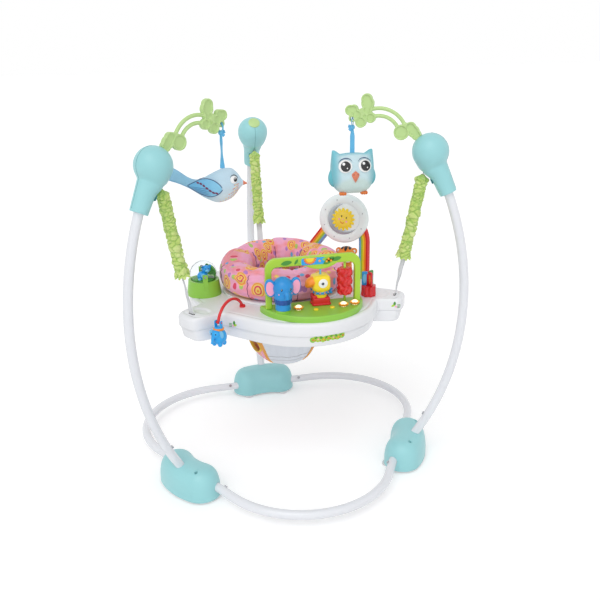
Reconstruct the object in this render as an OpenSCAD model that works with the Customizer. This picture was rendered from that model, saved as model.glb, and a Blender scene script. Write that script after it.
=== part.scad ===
// Baby jumper frame: three bowed posts on a rounded floor ring carry, on three sleeved springs,
// a toy tray with a seat that turns in it.

/* [Frame tubes] */
// Outside diameter of the frame tubes
tube_d = 22; // [19:0.5:26]
// Wall of the frame tubes
tube_wall = 1.5; // [1:0.1:2.5]
// Radius of the bow of each post
post_bow_r = 718; // [690:1:760]
// Greatest reach of a post from the middle axis
post_reach = 456; // [440:1:480]
// Height at which the posts reach out the furthest
post_reach_z = 444; // [425:1:465]
// How far the floor tubes' straight runs lie inside the posts' feet
base_in = 16; // [12:0.5:20]
// Bend radius of the floor tubes as a share of their distance from the middle axis
base_bend_share = 0.71; // [0.62:0.01:0.75]
// Height of the floor tubes' middle line
base_z = 32; // [29:0.5:36]

/* [Foot hubs] */
// How far a hub's middle lies outside the post's foot
hub_out = 9; // [5:0.5:14]
// Length of a hub along the floor ring
hub_len = 190; // [180:1:210]
// Width of a hub
hub_w = 92; // [86:1:100]
// Height of the hub cover
hub_h = 72; // [66:1:80]
// Wall of the hub cover
hub_wall = 3.5; // [2.5:0.1:4.5]
// Radius of the hub's curve in plan
hub_bow_r = 150; // [130:1:200]
// Thickness of the hub's sole plate
sole_t = 4; // [3:0.1:5]
// Diameter of a foot pad
pad_d = 26; // [20:0.5:30]
// Height of a foot pad
pad_h = 6; // [4:0.1:8]

/* [Heads and arms] */
// Height of the ball's middle
head_z = 800; // [780:1:820]
// Diameter of the ball
ball_d = 84; // [80:1:90]
// Wall of the ball
ball_wall = 3; // [2.5:0.1:4]
// Length of the post socket from the ball's middle
socket_len = 105; // [90:1:120]
// Diameter of the socket at the ball
socket_top_d = 52; // [48:0.5:56]
// Diameter of the socket at its mouth
socket_mouth_d = 40; // [37:0.5:44]
// Reach of a toy arm from the ball's middle to its tip
arm_reach = 200; // [185:1:215]
// Thickness of a toy arm
arm_t = 12; // [10:0.5:14]
// Diameter of the arm's two rods
rod_d = 9; // [7:0.5:11]
// Diameter of the ribbon hole in the arm
hook_d = 9; // [8:0.5:10]

/* [Springs] */
// Diameter of the spring pin in the head
spring_pin_d = 5; // [4:0.1:6]
// Outside diameter of a spring
spring_d = 18; // [14:0.5:20]
// Wire of a spring
spring_wire_d = 2.5; // [2:0.1:3]
// Distance from a spring's coil up to its pin
coil_top_gap = 46; // [40:1:60]
// Diameter of a sleeve
sleeve_d = 30; // [28:0.5:32]
// Diameter of a sleeve's frilled hem
sleeve_hem_d = 40; // [36:0.5:44]
// Distance from a sleeve's top up to the spring pin
sleeve_top_gap = 31; // [28:1:36]
// Height of the hem above the tray, along the strap
sleeve_start = 100; // [94:1:106]
// Width of a strap
strap_w = 16; // [12:0.5:18]
// Thickness of a strap
strap_t = 1.6; // [1.2:0.1:2]

/* [Tray] */
// Height of the tray's top
tray_top_z = 448; // [440:1:456]
// Height of the tray's wall
tray_h = 60; // [54:1:66]
// Height of the upper shell's share of the wall
tray_upper_h = 30; // [27:1:33]
// Radius of the tray's round body
tray_r = 240; // [232:1:248]
// Reach of the three strap lugs
lug_reach = 312; // [304:1:320]
// Width of a strap lug
lug_w = 88; // [80:1:92]
// Radius of the front lobe
lobe_r = 178; // [172:1:190]
// Sideways place of the front lobe
lobe_x = 25; // [20:1:30]
// Forward place of the front lobe
lobe_y = 112; // [110:1:120]
// Wall of the tray shells
tray_wall = 3; // [2.5:0.1:4]
// Rounding of the tray's upper edge
tray_edge_r = 9; // [6:0.5:11]

/* [Seat] */
// Diameter of the seat hole in the tray
seat_hole_d = 280; // [270:1:284]
// Wall of the seat ring
seat_ring_t = 5; // [4:0.1:6]
// Width of the seat ring's flange over the tray
seat_flange_w = 16; // [12:0.5:18]
// Outside diameter of the padded collar
collar_d = 324; // [316:1:328]
// Opening of the padded collar
collar_bore_d = 184; // [170:1:200]
// Height of the padded collar
collar_h = 74; // [60:1:78]
// Extra height of the collar at the back
collar_back_h = 14; // [0:1:18]
// Depth of the sling below the seat ring's top
sling_depth = 205; // [190:1:215]
// Thickness of the sling cloth with its lining
sling_t = 3; // [2:0.1:4]
// Diameter of a leg hole
leg_hole_d = 84; // [70:1:90]

/* [Console] */
// Radius of the console's round front
console_r = 125; // [121:0.5:128]
// Sideways place of the console
console_x = 30; // [26:0.5:32]
// Forward place of the console's round front
console_y = 158; // [156:0.5:162]
// Height of the console
console_h = 14; // [13:0.5:17]
// Forward place of the console's back edge
console_back_y = 172; // [170:0.5:176]
// Forward place of the arch
arch_y = 197; // [195:0.5:201]
// Width of the arch
arch_w = 226; // [220:1:230]
// Height of the arch
arch_h = 118; // [114:1:124]
// Thickness of the arch
arch_t = 12; // [10:0.5:13]
// Width of an arch leg
arch_leg_w = 14; // [12:0.5:16]
// Rounding of the arch's outer corners
arch_corner_r = 26; // [20:1:30]
// Depth of the arch's header
arch_header_h = 20; // [18:0.5:22]
// Diameter of a push button
button_d = 11; // [9:0.5:12]
// Travel of a push button
button_travel = 2.5; // [2:0.1:3]
// Diameter of a lamp lens
lamp_d = 12; // [10:0.5:13]

/* [Console toys] */
// Height of the elephant figure
elephant_h = 80; // [74:1:84]
// Width of the elephant figure across its ears
elephant_w = 86; // [80:1:88]
// Height of the parrot figure
parrot_h = 55; // [52:0.5:57]
// Diameter of the parrot's head
parrot_head_d = 42; // [38:0.5:44]
// Height of the parrot's perch
perch_h = 18; // [16:0.5:19]
// Diameter of the fluted spinner
spinner_d = 38; // [33:0.5:39]
// Height of the fluted spinner
spinner_h = 64; // [58:1:70]
// Diameter of the pins that the toys turn on
pivot_d = 6; // [5:0.1:7]

/* [Tray toys] */
// Distance of the rainbow stand from the middle axis
stand_r = 182; // [180:0.5:185]
// Direction of the rainbow stand
stand_angle = 33; // [31:0.5:35]
// Distance of the upright leg from the stand's direction
stand_shift = 120.5; // [116:0.5:124]
// Height of the stand's upright leg
stand_leg_h = 99; // [94:1:104]
// Radius of the rainbow's bow, along the middle of the band
stand_bow_r = 62; // [58:0.5:66]
// Slope of the stand's slanted leg
stand_slant = 48.5; // [46:0.5:52]
// Width of the rainbow band
stand_band = 28; // [24:0.5:32]
// Thickness of the rainbow stand
stand_t = 14; // [12:0.5:16]
// Diameter of the round housing on the stand
disc_d = 128; // [122:1:132]
// Thickness of the round housing
disc_t = 22; // [20:0.5:26]
// Height of the round housing's middle above the tray
disc_rise = 162; // [158:1:168]
// Turn of the round housing towards the front
disc_turn = 30; // [26:1:34]
// Diameter of the sun disc
sun_d = 82; // [76:1:88]
// Thickness of the sun disc
sun_t = 5; // [4:0.1:6]
// Diameter of the tiger's head
tiger_d = 50; // [46:1:52]
// Height of the tiger's head above the tray
tiger_rise = 54; // [50:1:58]
// Outside diameter of the clear ball
globe_d = 68; // [64:1:72]
// Wall of the clear ball
globe_wall = 2; // [1.5:0.1:2.5]
// Distance of the clear ball from the middle axis
globe_r = 203; // [200:0.5:206]
// Height of the clear ball's middle above the tray
globe_rise = 52; // [50:0.5:56]
// Diameter of the picture drum
drum_d = 38; // [34:0.5:40]
// Height of the picture drum
drum_h = 62; // [56:1:68]
// Radius of the toy stem's curve
stem_bow_r = 51; // [48:0.5:53]
// Diameter of the toy stem
stem_d = 7; // [6:0.1:8]
// Diameter of the hanging elephant's body
calf_d = 34; // [30:0.5:36]

/* [Plush toys] */
// Length of the bird from tail to beak
bird_len = 182; // [170:1:190]
// Height of the bird's body
bird_h = 76; // [70:1:80]
// Thickness of the bird
bird_depth = 54; // [48:1:60]
// Width of the owl
owl_w = 104; // [96:1:110]
// Height of the owl
owl_h = 95; // [88:1:100]
// Thickness of the owl
owl_depth = 60; // [54:1:66]
// Width of the ribbons
ribbon_w = 12; // [10:0.5:14]
// Thickness of the ribbons
ribbon_t = 1.5; // [1:0.1:2]
// Length of the bird's ribbon
bird_ribbon_len = 98; // [90:1:104]
// Length of the owl's ribbon
owl_ribbon_len = 78; // [72:1:84]

/* [Hidden] */
$fn = 48;

// Clearances: fixed fits, turning pins, running faces and soft pieces
fit_gap = 0.15;
pivot_gap = 0.08;
run_gap = 0.4;
soft_gap = 0.4;
// Overrun of every cut
over = 1;

// Colours
white = [0.95, 0.955, 0.965];
teal = [0.5, 0.82, 0.83];
leaf_green = [0.62, 0.85, 0.46];
sleeve_green = [0.6, 0.78, 0.3];
console_green = [0.5, 0.78, 0.24];
sky_blue = [0.1, 0.53, 0.83];
plush_blue = [0.58, 0.78, 0.92];
ribbon_blue = [0.36, 0.71, 0.93];
yellow = [1, 0.88, 0.18];
orange = [1, 0.58, 0.13];
red = [0.83, 0.13, 0.15];
pink = [0.96, 0.56, 0.71];
steel = [0.6, 0.6, 0.62];
clear = [0.85, 0.92, 0.95];
board_green = [0.12, 0.4, 0.22];

// Directions of the three posts, seen from above
rear_angle = 90;
left_angle = 210;
right_angle = 330;
post_angles = [rear_angle, left_angle, right_angle];
// Half the turn from one hub to the next
half_turn = 60;

// Posts
post_centre_r = post_reach - post_bow_r;
post_foot_z = pad_h + sole_t + 10;
post_top_z = head_z - 12;
post_screw_z = pad_h + hub_h + 48;
function post_lean(z) = asin((z - post_reach_z) / post_bow_r);
function post_r_at(z) = post_centre_r + post_bow_r * cos(post_lean(z));

// Floor tubes and hubs keep to the posts' feet
post_foot_r = post_r_at(base_z);
hub_r = post_foot_r + hub_out;
base_side = post_foot_r - base_in;
base_bend_r = base_bend_share * base_side;
base_corner_reach = 2 * base_side - base_bend_r;
// The middle axis stands behind the floor box's middle by this much
axis_shift_y = (post_reach - base_corner_reach) / 2;
base_arc_x = base_corner_reach - base_bend_r;
base_tangent_y = (base_side - base_bend_r) * tan(half_turn);
base_end_y = 45;
base_screw_y = hub_len / 2 + 14;
base_screw_lean = 55;
seam_bite = 2;
seam_step = 0.25;

// Foot hubs
hub_bend = (hub_len - hub_w) / 2 / hub_bow_r * 180 / PI;
hub_round_share = 2 / 3;
hub_end_share = 0.996;
hub_step = 7.5;
hub_screw_out = 12;
hub_screw_y = hub_len * 0.3;
hub_boss_d = 15;
hub_seat_z = pad_h + sole_t + 12;
pad_in = hub_w / 2 - 1;
pad_y = hub_len * 0.29;
saddle_w = tube_d + 8;
saddle_len = 16;
saddle_y = base_end_y + saddle_len;
post_boss_d = tube_d + 12;
post_boss_h = 14;

// Screws of the frame
screw_d = 4;
screw_len = 15.5;
screw_head_d = 8;
screw_head_h = 3;

// Heads
head_r = post_r_at(head_z);
socket_lean = post_lean(head_z) - socket_len / post_bow_r * 90 / PI;
head_seam = 0.3;
plug_d = 14;
plug_len = 12;
plug_lean = 45;
cap_d = 32;
cap_t = 1.8;
pin_in = 10;
pin_drop = 28;
pin_len = 53;
hook_slot_w = 14;
hook_slot_len = 20;
hook_slot_h = 30;

// Springs, sleeves and straps lie on the line from the spring pin to the strap's lug
strap_in = 23;
strap_r = lug_reach - strap_in;
pin_r = head_r - pin_in;
pin_z = head_z - pin_drop;
spring_lean = atan2(pin_r - strap_r, pin_z - tray_top_z);
spring_span = norm([pin_r - strap_r, pin_z - tray_top_z]);
strap_len = sleeve_start + 30;
strap_tail = 18;
strap_bar_d = 7;
coil_start = strap_len + 14;
spring_coil_len = spring_span - coil_start - coil_top_gap;
sleeve_len = spring_span - sleeve_start - sleeve_top_gap;
sleeve_bore_d = spring_d + 2.5 * soft_gap;
sleeve_rings = 26;
sleeve_sides = 16;
sleeve_folds = 5;
sleeve_fold_share = 0.07;
sleeve_puffs = 6;
sleeve_puff_share = 0.05;
sleeve_twist = 150;
sleeve_neck_share = 0.8;
sleeve_hem_len = 26;

// Toy arms: lobes as shares of the reach, across, up and diameter
arm_lobe_shares = [[0.165, 0.18, 0.115], [0.2, 0.22, 0.135], [0.235, 0.265, 0.125], [0.29, 0.262, 0.11],
    [0.34, 0.208, 0.175], [0.735, 0.53, 0.15], [0.745, 0.575, 0.13], [0.74, 0.45, 0.11],
    [0.7, 0.368, 0.12], [0.8, 0.43, 0.09], [0.86, 0.4, 0.12], [0.815, 0.318, 0.13],
    [0.94, 0.45, 0.12], [0.9, 0.46, 0.11], [0.915, 0.36, 0.085]];
arm_plug_bite = 4;
arm_plug_reach = ball_d / 2 + arm_plug_bite;
rod_centre_shares = [0.6, 0.145];
rod_bow_shares = [0.33, 0.245];
rod_from = 68;
rod_to = 158;
hook_shares = [0.915, 0.355];
hook_r = head_r - hook_shares[0] * arm_reach;
hook_z = head_z + hook_shares[1] * arm_reach;

// Tray outline: a power mean blends round body, lugs and front lobe
tray_bottom_z = tray_top_z - tray_h;
tray_split_z = tray_top_z - tray_upper_h;
tray_blend = 20;
lug_corner = 6;
tray_points = 144;
tray_step_in = 4;
tray_draft_in = 10;
tray_screw_r = (tray_r + seat_hole_d / 2) / 2 + 4;
tray_screw_angles = [0, 60, 120, 180, 240, 306];
tray_screw_d = 3;
tray_screw_len = 16;
tray_screw_head_d = 6;
tray_screw_head_h = 2.4;
tray_boss_d = 10;
tray_sink_d = 8;
tray_sink_h = tray_split_z - tray_bottom_z - 6;
function lobe_at(a) =
    let(along = lobe_x * cos(a) - lobe_y * sin(a), apart = lobe_x * lobe_x + lobe_y * lobe_y - lobe_r * lobe_r)
    along + sqrt(max(along * along - apart, 0));
function lug_at(turn) = cos(turn) <= 0 ? 0
    : 1 / pow(pow(1 / lug_reach, lug_corner) + pow(2 * abs(sin(turn)) / lug_w, lug_corner), 1 / lug_corner);
function tray_at(a) = let(lugs = [for (post = post_angles) pow(lug_at(a - post) / tray_r, tray_blend)])
    tray_r * pow(1 + pow(lobe_at(a) / tray_r, tray_blend) + lugs[0] + lugs[1] + lugs[2], 1 / tray_blend);
function tray_ring(inset, z) = [for (k = [0 : tray_points - 1])
    let(a = k * 360 / tray_points, r = tray_at(a) - inset) [r * cos(a), r * sin(a), z]];
function edge_rings(r, inset, z) = [for (a = [0 : 30 : 90]) tray_ring(inset + r * (1 - cos(a)), z - r * (1 - sin(a)))];

// Seat
seat_hole_r = seat_hole_d / 2;
skirt_r = seat_hole_r - run_gap;
skirt_bore_r = skirt_r - seat_ring_t;
flange_r = seat_hole_r + seat_flange_w;
flange_t = 5;
flange_z = tray_top_z + run_gap;
lower_ring_t = 4;
lower_ring_w = 11;
skirt_end_z = tray_bottom_z - run_gap;
collar_z = flange_z + flange_t + soft_gap;
collar_rings = 48;
collar_sides = 16;
collar_seams = 8;
collar_seam_share = 0.09;
collar_square_share = 0.75;
sling_r = skirt_bore_r - soft_gap;
sling_top_z = flange_z + flange_t;
sling_sides = 32;
sling_folds = 16;
sling_fold_share = 0.025;
// Sling profile from the bottom up: height and radius shares, and how much of the folds shows
sling_shares = [[0, 0.3, 0], [0.03, 0.42, 0.4], [0.12, 0.55, 1], [0.3, 0.7, 1], [0.5, 0.85, 0.7],
    [0.64, 0.96, 0.2], [0.7, 1, 0], [1, 1, 0]];
leg_hole_y = 18;
leg_hole_rise = 78;

// Console
console_z = tray_top_z + console_h;
console_edge = 3;
stub_d = 34;
stub_h = 5;
elephant_x = -50;
elephant_y = arch_y + 27;
parrot_x = 45;
spinner_x = 104;
pin_bite = 6;
arch_x = console_x - 2;
arch_open_h = arch_h - arch_header_h;
arch_dip = 12;
arch_dip_r = 70;
arch_open_corner_r = 14;
button_proud = 3;
button_skirt = 7;
button_spots = [[24, 236], [64, 232]];
lamp_spots = [[-14, 222], [92, 228], [121, 222]];
lamp_base_h = 3;
lamp_dome_h = 4;

// Electrics under the console
cell_d = 14.4;
cell_len = 50;
cell_pitch = cell_d + 0.6;
cell_count = 3;
door_w = cell_len + 12;
door_l = cell_count * cell_pitch + 10;
door_y = 216;
door_lip = 1.2;
board_w = 46;
board_l = 34;
board_t = 1.6;
board_x = -42;
speaker_d = 40;
speaker_h = 14;
speaker_x = 104;
sound_y = 208;

// Console toys
elephant_base_d = 38;
elephant_neck_d = 32;
elephant_neck_h = elephant_h * 0.43;
elephant_head_d = elephant_h * 0.68;
elephant_ear_d = elephant_h * 0.42;
elephant_ear_t = 9;
elephant_trunk_d = 12;
elephant_pin_h = 16;
perch_w = 40;
perch_l = 26;
parrot_base_d = 30;
parrot_beak_d = 22;
parrot_beak_reach = 33;
parrot_tail_d = 12;
parrot_tail_reach = 27;
parrot_pin_d = 5;
spinner_flutes = 9;
spinner_flute_share = 0.09;
spinner_lift = 19;

// Rainbow stand and tiger
sun_recess = sun_t + 2;
sun_lift = 1;
sun_rays = 12;
sun_ray_share = 0.78;
sun_face_d = sun_d * 0.46;
sun_relief = 3;
moon_d = sun_d * 0.84;
moon_bite_d = sun_d * 0.7;
moon_shift = sun_d * 0.14;
disc_edge = 5;
disc_out = 30;
disc_side = 44.4;
disc_back_len = 26;
disc_back_d = 84;
tiger_side = 60;
tiger_neck_d = 26;
tiger_foot_d = 34;
tiger_ear_d = 17;
tiger_ear_share = 0.8;

// Clear ball
globe_angle = 180;
globe_pin_d = 6;
globe_pin_len = 6;
cradle_t = 6;
cradle_base_d = globe_d + 18;
cradle_rim_d = globe_d + 8;
cradle_h = globe_rise - 14;
globe_plate_t = 2;
globe_figure_d = 22;
globe_figure_h = 22;

// Picture drum
drum_x = 186;
drum_y = 132;
drum_foot_h = drum_h * 0.42;
drum_scallops = 8;
drum_scallop_share = 0.07;
drum_panel_t = 5;
drum_panels = 3;
drum_pin_h = 30;

// Toy stem and the calf that hangs from it
stem_angle = 225;
stem_centre_r = 228;
stem_centre_drop = 19;
stem_end = 13;
stem_foot_d = 14;
stem_foot_h = 5;
stem_start = 180 - asin((stem_centre_drop + stem_foot_h / 2) / stem_bow_r);
stem_tip_r = stem_centre_r + stem_bow_r * cos(stem_end);
stem_tip_z = tray_top_z - stem_centre_drop + stem_bow_r * sin(stem_end);
stem_pin_d = 4;
stem_pin_len = 18;
calf_tab_t = 3;
calf_tab_d = 10;
calf_tab_out = stem_d / 2 + 2.5;
calf_drop = 30;
calf_head_d = calf_d * 0.8;
calf_head_drop = calf_drop - calf_d * 0.42;
calf_ear_d = calf_d * 0.5;
calf_ear_t = 6;

// Plush toys: bird stations as shares along its length, rise, height and thickness
bird_shares = [[0.016, 0.41, 0.42, 0.26], [0.137, 0.28, 0.36, 0.28], [0.264, 0.105, 0.28, 0.33],
    [0.36, 0.0, 0.4, 0.48], [0.445, -0.046, 0.57, 0.66], [0.53, -0.045, 0.78, 0.86],
    [0.618, -0.026, 0.95, 0.98], [0.709, 0.026, 1, 1], [0.802, 0.08, 0.9, 0.88], [0.855, 0.1, 0.7, 0.7],
    [0.896, 0.11, 0.46, 0.48], [0.94, 0.09, 0.17, 0.17], [1, 0.066, 0.03, 0.04]];
bird_hang_share = 0.7;
bird_top_share = 0.53;
bird_sides = 18;
wing_shares = [[0.26, 0.05, 0.03, 0.1], [0.34, 0.0, 0.2, 0.6], [0.45, -0.02, 0.36, 1], [0.56, -0.02, 0.42, 1],
    [0.66, 0.0, 0.3, 0.6], [0.7, 0.02, 0.05, 0.1]];
wing_t = 12;
wing_out_share = 0.46;
toy_turn = -14;
// Owl stations from the bottom up: shares of height, width and thickness, and how much the ears show
owl_shares = [[0, 0.4, 0.34, 0], [0.05, 0.64, 0.62, 0], [0.18, 0.84, 0.9, 0], [0.4, 0.95, 1, 0],
    [0.62, 0.96, 0.95, 0], [0.82, 0.95, 0.74, 0.1], [0.93, 0.93, 0.5, 0.5], [0.97, 0.9, 0.3, 1]];
owl_sides = 24;
owl_square_share = 0.7;
owl_ear_h = 9;
owl_wing_shares = [[0.2, 0.02, 0.1], [0.32, 0.22, 0.6], [0.5, 0.3, 1], [0.66, 0.22, 0.7], [0.76, 0.02, 0.1]];
owl_wing_t = 22;
owl_wing_w = 40;
owl_foot_d = 22;
owl_foot_out_share = 0.27;
knot_h = 10;
loop_drop = 12;
loop_bar_d = 5;

// Everything is drawn about the posts' middle axis and then moved over the floor box's middle
module at_axis() {
    translate([0, -axis_shift_y, 0]) children();
}

// Solid between rings of equal length that are stacked along their normal, with a fan over each end
module loft(rings) {
    n = len(rings[0]);
    last = len(rings) - 1;
    ring_points = [for (ring = rings) each ring];
    ends = [for (ring = [rings[0], rings[last]]) [for (p = ring) 1] * ring / n];
    foot = len(ring_points);
    polyhedron(concat(ring_points, ends), concat(
        [for (k = [0 : last - 1], i = [0 : n - 1]) let(a = k * n + i, b = k * n + (i + 1) % n)
            each [[a, b + n, b], [a, a + n, b + n]]],
        [for (i = [0 : n - 1]) [foot, i, (i + 1) % n]],
        [for (i = [0 : n - 1]) [foot + 1, last * n + (i + 1) % n, last * n + i]]));
}

// Solid whose last ring joins its first
module closed_loft(rings) {
    n = len(rings[0]);
    count = len(rings);
    polyhedron([for (ring = rings) each ring],
        [for (k = [0 : count - 1], i = [0 : n - 1])
            let(j = (i + 1) % n, next = (k + 1) % count, a = k * n + i, b = k * n + j, c = next * n + i, d = next * n + j)
            each [[a, d, b], [a, c, d]]]);
}

// Power of a signed number, which squares a circle's quarter
function signed_pow(x, share) = sign(x) * pow(abs(x), share);

module tube_section() {
    difference() {
        circle(d = tube_d);
        circle(d = tube_d - 2 * tube_wall);
    }
}

// Frame tubes
module post_arc(from_z, to_z) {
    translate([post_centre_r, 0, post_reach_z]) rotate([90, 0, 0]) rotate([0, 0, post_lean(from_z)])
        rotate_extrude(angle = post_lean(to_z) - post_lean(from_z)) translate([post_bow_r, 0]) children();
}

module post_cut(from_z, to_z) {
    post_arc(from_z, to_z) circle(d = tube_d + 2 * fit_gap);
}

module at_post_screw() {
    translate([post_r_at(post_screw_z), 0, post_screw_z]) rotate([0, -90 - post_lean(post_screw_z), 0]) children();
}

module post(angle) {
    at_axis() color(white) rotate([0, 0, angle]) difference() {
        post_arc(post_foot_z, post_top_z) tube_section();
        at_post_screw() cylinder(h = tube_d, d = screw_d + 2 * fit_gap);
    }
}

module at_base_screw(side) {
    rotate([0, 0, side * half_turn]) translate([base_side, -side * base_screw_y, base_z])
        rotate([0, -base_screw_lean, 0]) children();
}

// Bent run between two straight ends; a straight end is thinner by a hair, so that it sits inside the bend's wall
module base_run() {
    translate([base_arc_x, 0, base_z]) rotate([0, 0, -half_turn])
        rotate_extrude(angle = 2 * half_turn) translate([base_bend_r, 0]) tube_section();
    for (side = [-1, 1])
        rotate([0, 0, side * half_turn]) translate([base_side, -side * base_end_y, base_z]) rotate([side * 90, 0, 0])
            linear_extrude(base_tangent_y - base_end_y + seam_bite) difference() {
                circle(d = tube_d - 2 * seam_step);
                circle(d = tube_d - 2 * tube_wall + 2 * seam_step);
            }
}

module base_tube(angle) {
    at_axis() color(white) rotate([0, 0, angle]) difference() {
        base_run();
        for (side = [-1, 1]) at_base_screw(side) cylinder(h = tube_d, d = screw_d + 2 * fit_gap);
    }
}

module front_base_tube() { base_tube(270); }
module right_base_tube() { base_tube(30); }
module left_base_tube() { base_tube(150); }
module left_post() { post(left_angle); }
module right_post() { post(right_angle); }
module rear_post() { post(rear_angle); }

// Foot hubs
function dome_points(w, h) = [for (a = [0 : hub_step : 90])
    [w / 2 * pow(cos(a), hub_round_share), h * pow(sin(a), hub_round_share)]];

// Bean: a half section swept along the hub's curve, with a round end at each side
module hub_bean(half, z) {
    translate([hub_r - hub_bow_r, 0, z]) {
        for (side = [0, 1]) rotate([0, 0, -hub_bend]) rotate_extrude(angle = 2 * hub_bend)
            translate([hub_bow_r, 0]) mirror([side, 0]) polygon(concat([[0, 0]], half));
        for (side = [-1, 1]) rotate([0, 0, side * hub_bend]) translate([hub_bow_r, 0, 0])
            rotate_extrude() polygon(concat([[0, 0]], hub_end_share * half));
    }
}

module hub_dome(shrink, drop) {
    hub_bean([for (p = dome_points(hub_w - 2 * shrink, hub_h - shrink + drop)) p], pad_h - drop);
}

module at_hub_screws() {
    for (side = [-1, 1]) translate([hub_r + hub_screw_out, side * hub_screw_y, 0]) children();
}

module hub_tube_cuts() {
    for (side = [-1, 1]) translate([base_side, side * (base_end_y - over), base_z]) rotate([-side * 90, 0, 0])
        cylinder(h = hub_len, d = tube_d + 2 * fit_gap);
    post_cut(post_foot_z - over, post_reach_z);
}

module hub_cover(angle) {
    at_axis() color(teal) rotate([0, 0, angle]) difference() {
        hub_dome(0, 0);
        difference() {
            hub_dome(hub_wall, over);
            at_hub_screws() translate([0, 0, pad_h + sole_t + fit_gap]) cylinder(h = hub_h, d = hub_boss_d);
        }
        hub_tube_cuts();
        at_hub_screws() cylinder(h = hub_h, d = screw_d + 2 * fit_gap);
        at_hub_screws() translate([0, 0, hub_seat_z]) cylinder(h = hub_h, d = screw_head_d + 4 * fit_gap);
    }
}

module hub_sole() {
    plate_w = hub_w - 2 * hub_wall - 2 * fit_gap;
    difference() {
        union() {
            hub_bean([[plate_w / 2, 0], [plate_w / 2, sole_t], [0, sole_t]], pad_h);
            for (side = [-1, 1]) translate([base_side - saddle_w / 2, side * saddle_y - saddle_len / 2, pad_h])
                cube([saddle_w, saddle_len, base_z - pad_h]);
            translate([post_r_at(post_foot_z), 0, pad_h]) cylinder(h = sole_t + post_boss_h, d = post_boss_d);
        }
        hub_tube_cuts();
        at_hub_screws() cylinder(h = hub_h, d = screw_d + 2 * fit_gap);
    }
}

module left_hub_cover() { hub_cover(left_angle); }
module right_hub_cover() { hub_cover(right_angle); }
module rear_hub_cover() { hub_cover(rear_angle); }

module hub_soles() {
    at_axis() color(white) for (angle = post_angles) rotate([0, 0, angle]) hub_sole();
}

module foot_pads() {
    at_axis() color(white) for (angle = post_angles, side = [-1, 1]) rotate([0, 0, angle])
        translate([hub_r - pad_in, side * pad_y, 0]) cylinder(h = pad_h, d = pad_d);
}

module frame_screw() {
    translate([0, 0, -screw_len]) cylinder(h = screw_len, d = screw_d);
    cylinder(h = screw_head_h, d = screw_head_d);
}

module frame_screws() {
    at_axis() color(steel) for (angle = post_angles) {
        rotate([0, 0, angle]) {
            at_hub_screws() translate([0, 0, hub_seat_z]) frame_screw();
            at_post_screw() translate([0, 0, tube_d / 2 + fit_gap]) frame_screw();
        }
        for (side = [-1, 1]) rotate([0, 0, angle + half_turn]) at_base_screw(side)
            translate([0, 0, tube_d / 2 + fit_gap]) frame_screw();
    }
}

// Heads: two half shells that meet in the post's plane
module at_head(angle) {
    rotate([0, 0, angle]) translate([head_r, 0, head_z]) children();
}

module head_body() {
    difference() {
        union() {
            sphere(d = ball_d);
            rotate([0, 180 - socket_lean, 0]) cylinder(h = socket_len, d1 = socket_top_d, d2 = socket_mouth_d);
        }
        sphere(d = ball_d - 2 * ball_wall);
        translate([-head_r, 0, -head_z]) post_cut(post_reach_z, head_z);
        rotate([0, -plug_lean, 0]) cylinder(h = ball_d, d = plug_d + 2 * fit_gap);
        translate([-pin_in, 0, -pin_drop]) rotate([90, 0, 0])
            cylinder(h = pin_len + 2 * fit_gap, d = spring_pin_d + 2 * fit_gap, center = true);
        translate([-pin_in - hook_slot_len / 2, -hook_slot_w / 2, -pin_drop - hook_slot_h])
            cube([hook_slot_len, hook_slot_w, hook_slot_h]);
    }
}

module head_shells(angle) {
    at_axis() color(teal) at_head(angle) for (side = [-1, 1]) intersection() {
        head_body();
        translate([-socket_len - ball_d, side < 0 ? -ball_d - head_seam / 2 : head_seam / 2, -socket_len - ball_d])
            cube([2 * (socket_len + ball_d), ball_d, 2 * (socket_len + ball_d)]);
    }
}

module left_head_shells() { head_shells(left_angle); }
module right_head_shells() { head_shells(right_angle); }
module rear_head_shells() { head_shells(rear_angle); }

module spring_pins() {
    at_axis() color(steel) for (angle = post_angles) at_head(angle) translate([-pin_in, 0, -pin_drop])
        rotate([90, 0, 0]) cylinder(h = pin_len, d = spring_pin_d, center = true);
}

// Toy arms: leaf lobes at the ball, two parallel bowed rods and a four-lobed butterfly
module arm_rods() {
    for (k = [0, 1]) translate([-rod_centre_shares[0] * arm_reach, 0, rod_centre_shares[1] * arm_reach])
        rotate([90, 0, 180]) rotate([0, 0, rod_from]) rotate_extrude(angle = rod_to - rod_from)
            translate([rod_bow_shares[k] * arm_reach, 0]) circle(d = rod_d);
}

module socket_plug(reach) {
    rotate([0, -plug_lean, 0]) translate([0, 0, ball_d / 2 - plug_len]) cylinder(h = plug_len + reach - ball_d / 2, d = plug_d);
}

module toy_arm(angle) {
    at_axis() color(leaf_green) at_head(angle) {
        difference() {
            union() {
                rotate([90, 0, 0]) linear_extrude(arm_t, center = true) for (lobe = arm_lobe_shares)
                    translate([-lobe[0] * arm_reach, lobe[1] * arm_reach]) circle(d = lobe[2] * arm_reach);
                arm_rods();
            }
            sphere(d = ball_d + 2 * fit_gap);
            translate([-hook_shares[0] * arm_reach, 0, hook_shares[1] * arm_reach]) rotate([90, 0, 0])
                cylinder(h = 2 * arm_t, d = hook_d, center = true);
        }
        socket_plug(arm_plug_reach);
    }
}

module left_toy_arm() { toy_arm(left_angle); }
module right_toy_arm() { toy_arm(right_angle); }

module rear_socket_cap() {
    at_axis() color(leaf_green) at_head(rear_angle) {
        difference() {
            intersection() {
                sphere(d = ball_d + 2 * cap_t);
                rotate([0, -plug_lean, 0]) cylinder(h = ball_d, d = cap_d);
            }
            sphere(d = ball_d + 2 * fit_gap);
        }
        socket_plug(ball_d / 2 + over);
    }
}

// Springs, sleeves and straps: local z runs up from the tray's top to the spring pin
module on_spring(angle) {
    rotate([0, 0, angle]) translate([strap_r, 0, tray_top_z]) rotate([0, spring_lean, 0]) children();
}

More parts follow.
